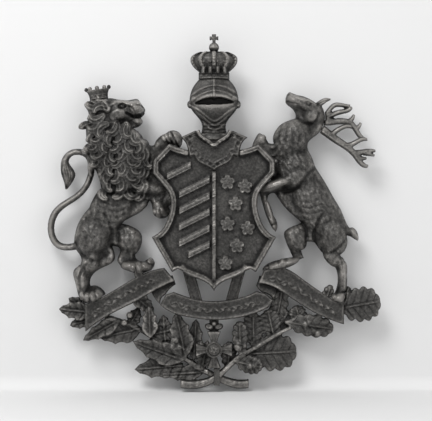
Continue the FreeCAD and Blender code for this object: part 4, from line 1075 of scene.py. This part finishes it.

# %% [markdown]
# Cast iron leaves the sand with a fine grain and is then blacked, with stove black or oil paint. Years of
# dusting rub the blacking off the high points, which turn a paler grey, and the hollows are painted darker
# as shade. So one shader reads how far each point stands proud, breaks that up with cloudy noise, and
# drives colour and roughness with it. Two bump layers give the sand: a fine grain, and soft waves as from
# the mould.


# %% Blackened iron
def blackened_iron():
    iron, net, shader = new_finish("blackened_iron")
    place = add(net, "TexCoord").outputs["Object"]

    def noise(scale, detail):
        return add(net, "TexNoise", Vector=place, Scale=scale, Detail=detail, Roughness=0.6).outputs["Fac"]

    def sums(kind, *terms):
        node = net.nodes.new("ShaderNodeMath")
        node.operation = kind
        for socket, term in zip(node.inputs, terms):
            if isinstance(term, float):
                socket.default_value = term
            else:
                net.links.new(term, socket)
        return node.outputs[0]

    proud = add(net, "Attribute")
    proud.attribute_name = "proud"
    clouds = noise(22, 4)
    speckle = noise(330, 3)
    # Proud points turn paler as rubbed wear. Sunk points turn darker, and that darkening is painted shade in
    # the hollows.
    lifted = sums("MULTIPLY_ADD", proud.outputs["Fac"], 0.26, 0.42)
    lifted = sums("ADD", lifted, sums("MULTIPLY_ADD", clouds, 0.5, -0.25))
    wear_and_shade = sums("ADD", lifted, sums("MULTIPLY_ADD", speckle, 0.9, -0.45))
    greys = [(position, (grey, grey * 0.96, grey * 0.9)) for position, grey in ((0.4, 0.039), (0.68, 0.097))]
    colour = tones(net, wear_and_shade, [(0.05, (0.006, 0.0055, 0.005)), *greys, (1.0, (0.235, 0.224, 0.21))])
    waves = add(net, "Bump", Strength=0.5, Distance=0.0008, Height=noise(260, 3)).outputs["Normal"]
    grain = add(net, "Bump", Strength=0.5, Distance=0.0003, Height=noise(900, 2), Normal=waves)
    feed(net, shader, Base_Color=colour, Roughness=sums("MULTIPLY_ADD", wear_and_shade, -0.22, 0.6), Metallic=0.45,
         Normal=grain.outputs["Normal"])
    return iron


iron = blackened_iron()
for piece in castings:
    piece.data.materials.append(iron)
print("blackened:", len(castings), "castings")

# %% [markdown]
# The screws behind are the model's own, so they keep their meshes and only need a metal: bright turned
# steel that has gone dull in patches. A wave texture in rings round each screw would need its axis, while
# a noise that is stretched towards the wall reads as tool marks on every one of them.


# %% Screws
def screw_steel():
    steel, net, shader = new_finish("screw_steel")
    stretch = add(net, "Mapping", Vector=add(net, "TexCoord").outputs["Object"], Scale=(900, 60, 900))
    marks = add(net, "TexNoise", Vector=stretch.outputs["Vector"], Scale=1.0, Detail=3).outputs["Fac"]
    colour = tones(net, marks, [(0.3, (0.12, 0.11, 0.1)), (0.7, (0.42, 0.41, 0.4))])
    rough = add(net, "MapRange", Value=marks, To_Min=0.28, To_Max=0.55).outputs["Result"]
    ridges = add(net, "Bump", Strength=0.4, Distance=0.0002, Height=marks).outputs["Normal"]
    feed(net, shader, Base_Color=colour, Roughness=rough, Metallic=1.0, Normal=ridges)
    return steel


steel = screw_steel()
screws = [node for name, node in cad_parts.items() if name.endswith("_screws")]
for node in screws:
    node.data.materials.clear()
    node.data.materials.append(steel)
print("screw sets:", len(screws))

# %% [markdown]
# The plaque hangs on a pale studio wall, just above the table top in front of it. Photographers use one
# bent sheet for both, so that no line shows behind the subject, and so do we: a profile with a round bend,
# drawn out sideways. It stands clear of the flat backs, which throws the soft shadow at the right. Its
# rear is clear, so that a camera behind it sees the flat backs and their screws.

# %% Stage
low, high = (np.array(corner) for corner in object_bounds())
WALL_GAP = 0.022  # m behind the flat backs, and the radius of the bend
FLOOR_DROP = 0.004  # m below the lowest stem
FLOOR_FRONT = -6.0  # m
WALL_TOP = 4.0  # m
SHEET_HALF = 4  # m, half the sheet's width
floor_z = float(low[2]) - FLOOR_DROP
wall_y = float(high[1]) + WALL_GAP
profile = [(FLOOR_FRONT, floor_z)]
for angle in np.linspace(0, math.pi / 2, 13):
    profile.append((wall_y - WALL_GAP * (1 - math.sin(angle)), floor_z + WALL_GAP * (1 - math.cos(angle))))
profile.append((wall_y, WALL_TOP))
points = [(x, y, z) for y, z in profile for x in (-SHEET_HALF, SHEET_HALF)]
faces = [(n, n + 1, n + 3, n + 2) for n in range(0, len(points) - 2, 2)]
sheet_mesh = bpy.data.meshes.new("studio_sheet")
sheet_mesh.from_pydata(points, [], faces)
sheet_mesh.polygons.foreach_set("use_smooth", np.ones(len(faces), bool))
sheet = bpy.data.objects.new("studio_sheet", sheet_mesh)
bpy.context.scene.collection.objects.link(sheet)
paper, net, shader = new_finish("studio_paper")
feed(net, shader, Base_Color=(0.7, 0.7, 0.7, 1), Roughness=0.85)
either = add(net, "MixShader", Fac=add(net, "NewGeometry").outputs["Backfacing"])
net.links.new(shader.outputs[0], either.inputs[1])
net.links.new(add(net, "BsdfTransparent").outputs[0], either.inputs[2])
net.links.new(either.outputs[0], net.nodes["Material Output"].inputs["Surface"])
sheet_mesh.materials.append(paper)
sheet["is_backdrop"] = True
print(f"floor at {floor_z:.3f} m, wall at {wall_y:.3f} m")

# %% [markdown]
# One large soft light from the upper left models the carving, since relief is read from its shadows. A
# weak broad one from the right keeps the hollows open, and a pale world fills the rest.


# %% Lights
def soft_light(name, place, target, size, watts):
    lamp = bpy.data.lights.new(name, "AREA")
    lamp.size = size
    lamp.energy = watts
    holder = bpy.data.objects.new(name, lamp)
    holder.location = place
    aim = np.array(target) - np.array(place)
    yaw = math.atan2(aim[0], -aim[1])
    pitch = math.atan2(math.hypot(aim[0], aim[1]), -aim[2])
    holder.rotation_euler = (pitch, 0, yaw + math.pi)
    bpy.context.scene.collection.objects.link(holder)


soft_light("key", (-0.8, -1.5, 1.7), (0, 0, 0), 1.1, 38)
soft_light("fill", (1.5, -1.8, 0.4), (0, 0, 0), 1.6, 9)
world = bpy.data.worlds.new("studio")
world.use_nodes = True
world.node_tree.nodes["Background"].inputs["Color"].default_value = (1, 1, 1, 1)
world.node_tree.nodes["Background"].inputs["Strength"].default_value = 0.62
bpy.context.scene.world = world
bpy.context.scene.view_settings.view_transform = "Standard"
print("lights: key and fill")

# %% [markdown]
# The camera faces the relief almost squarely from a little over two metres, with a portrait lens, so that
# the deep pieces in the middle swell only slightly. The picture's width and the plaque's place in it fix
# the rest.

# %% Camera
PICTURE_WIDTH = 432  # pixels
WIDTH_AT_WALL = 0.648  # m that the picture shows across, at the flat backs
DISTANCE = 2.2  # m
SENSOR = 36  # mm
MIDDLE = (0.003, 0.0022)  # m, to the right and up
lens = bpy.data.cameras.new("camera")
lens.sensor_width = SENSOR
lens.lens = SENSOR * DISTANCE / WIDTH_AT_WALL
camera = bpy.data.objects.new("camera", lens)
camera.location = (MIDDLE[0], -DISTANCE, MIDDLE[1])
camera.rotation_euler = (math.pi / 2, 0, 0)
bpy.context.scene.collection.objects.link(camera)
bpy.context.scene.camera = camera
print(f"lens {lens.lens:.0f} mm, {WIDTH_AT_WALL * 1000 / PICTURE_WIDTH:.2f} mm to a pixel")
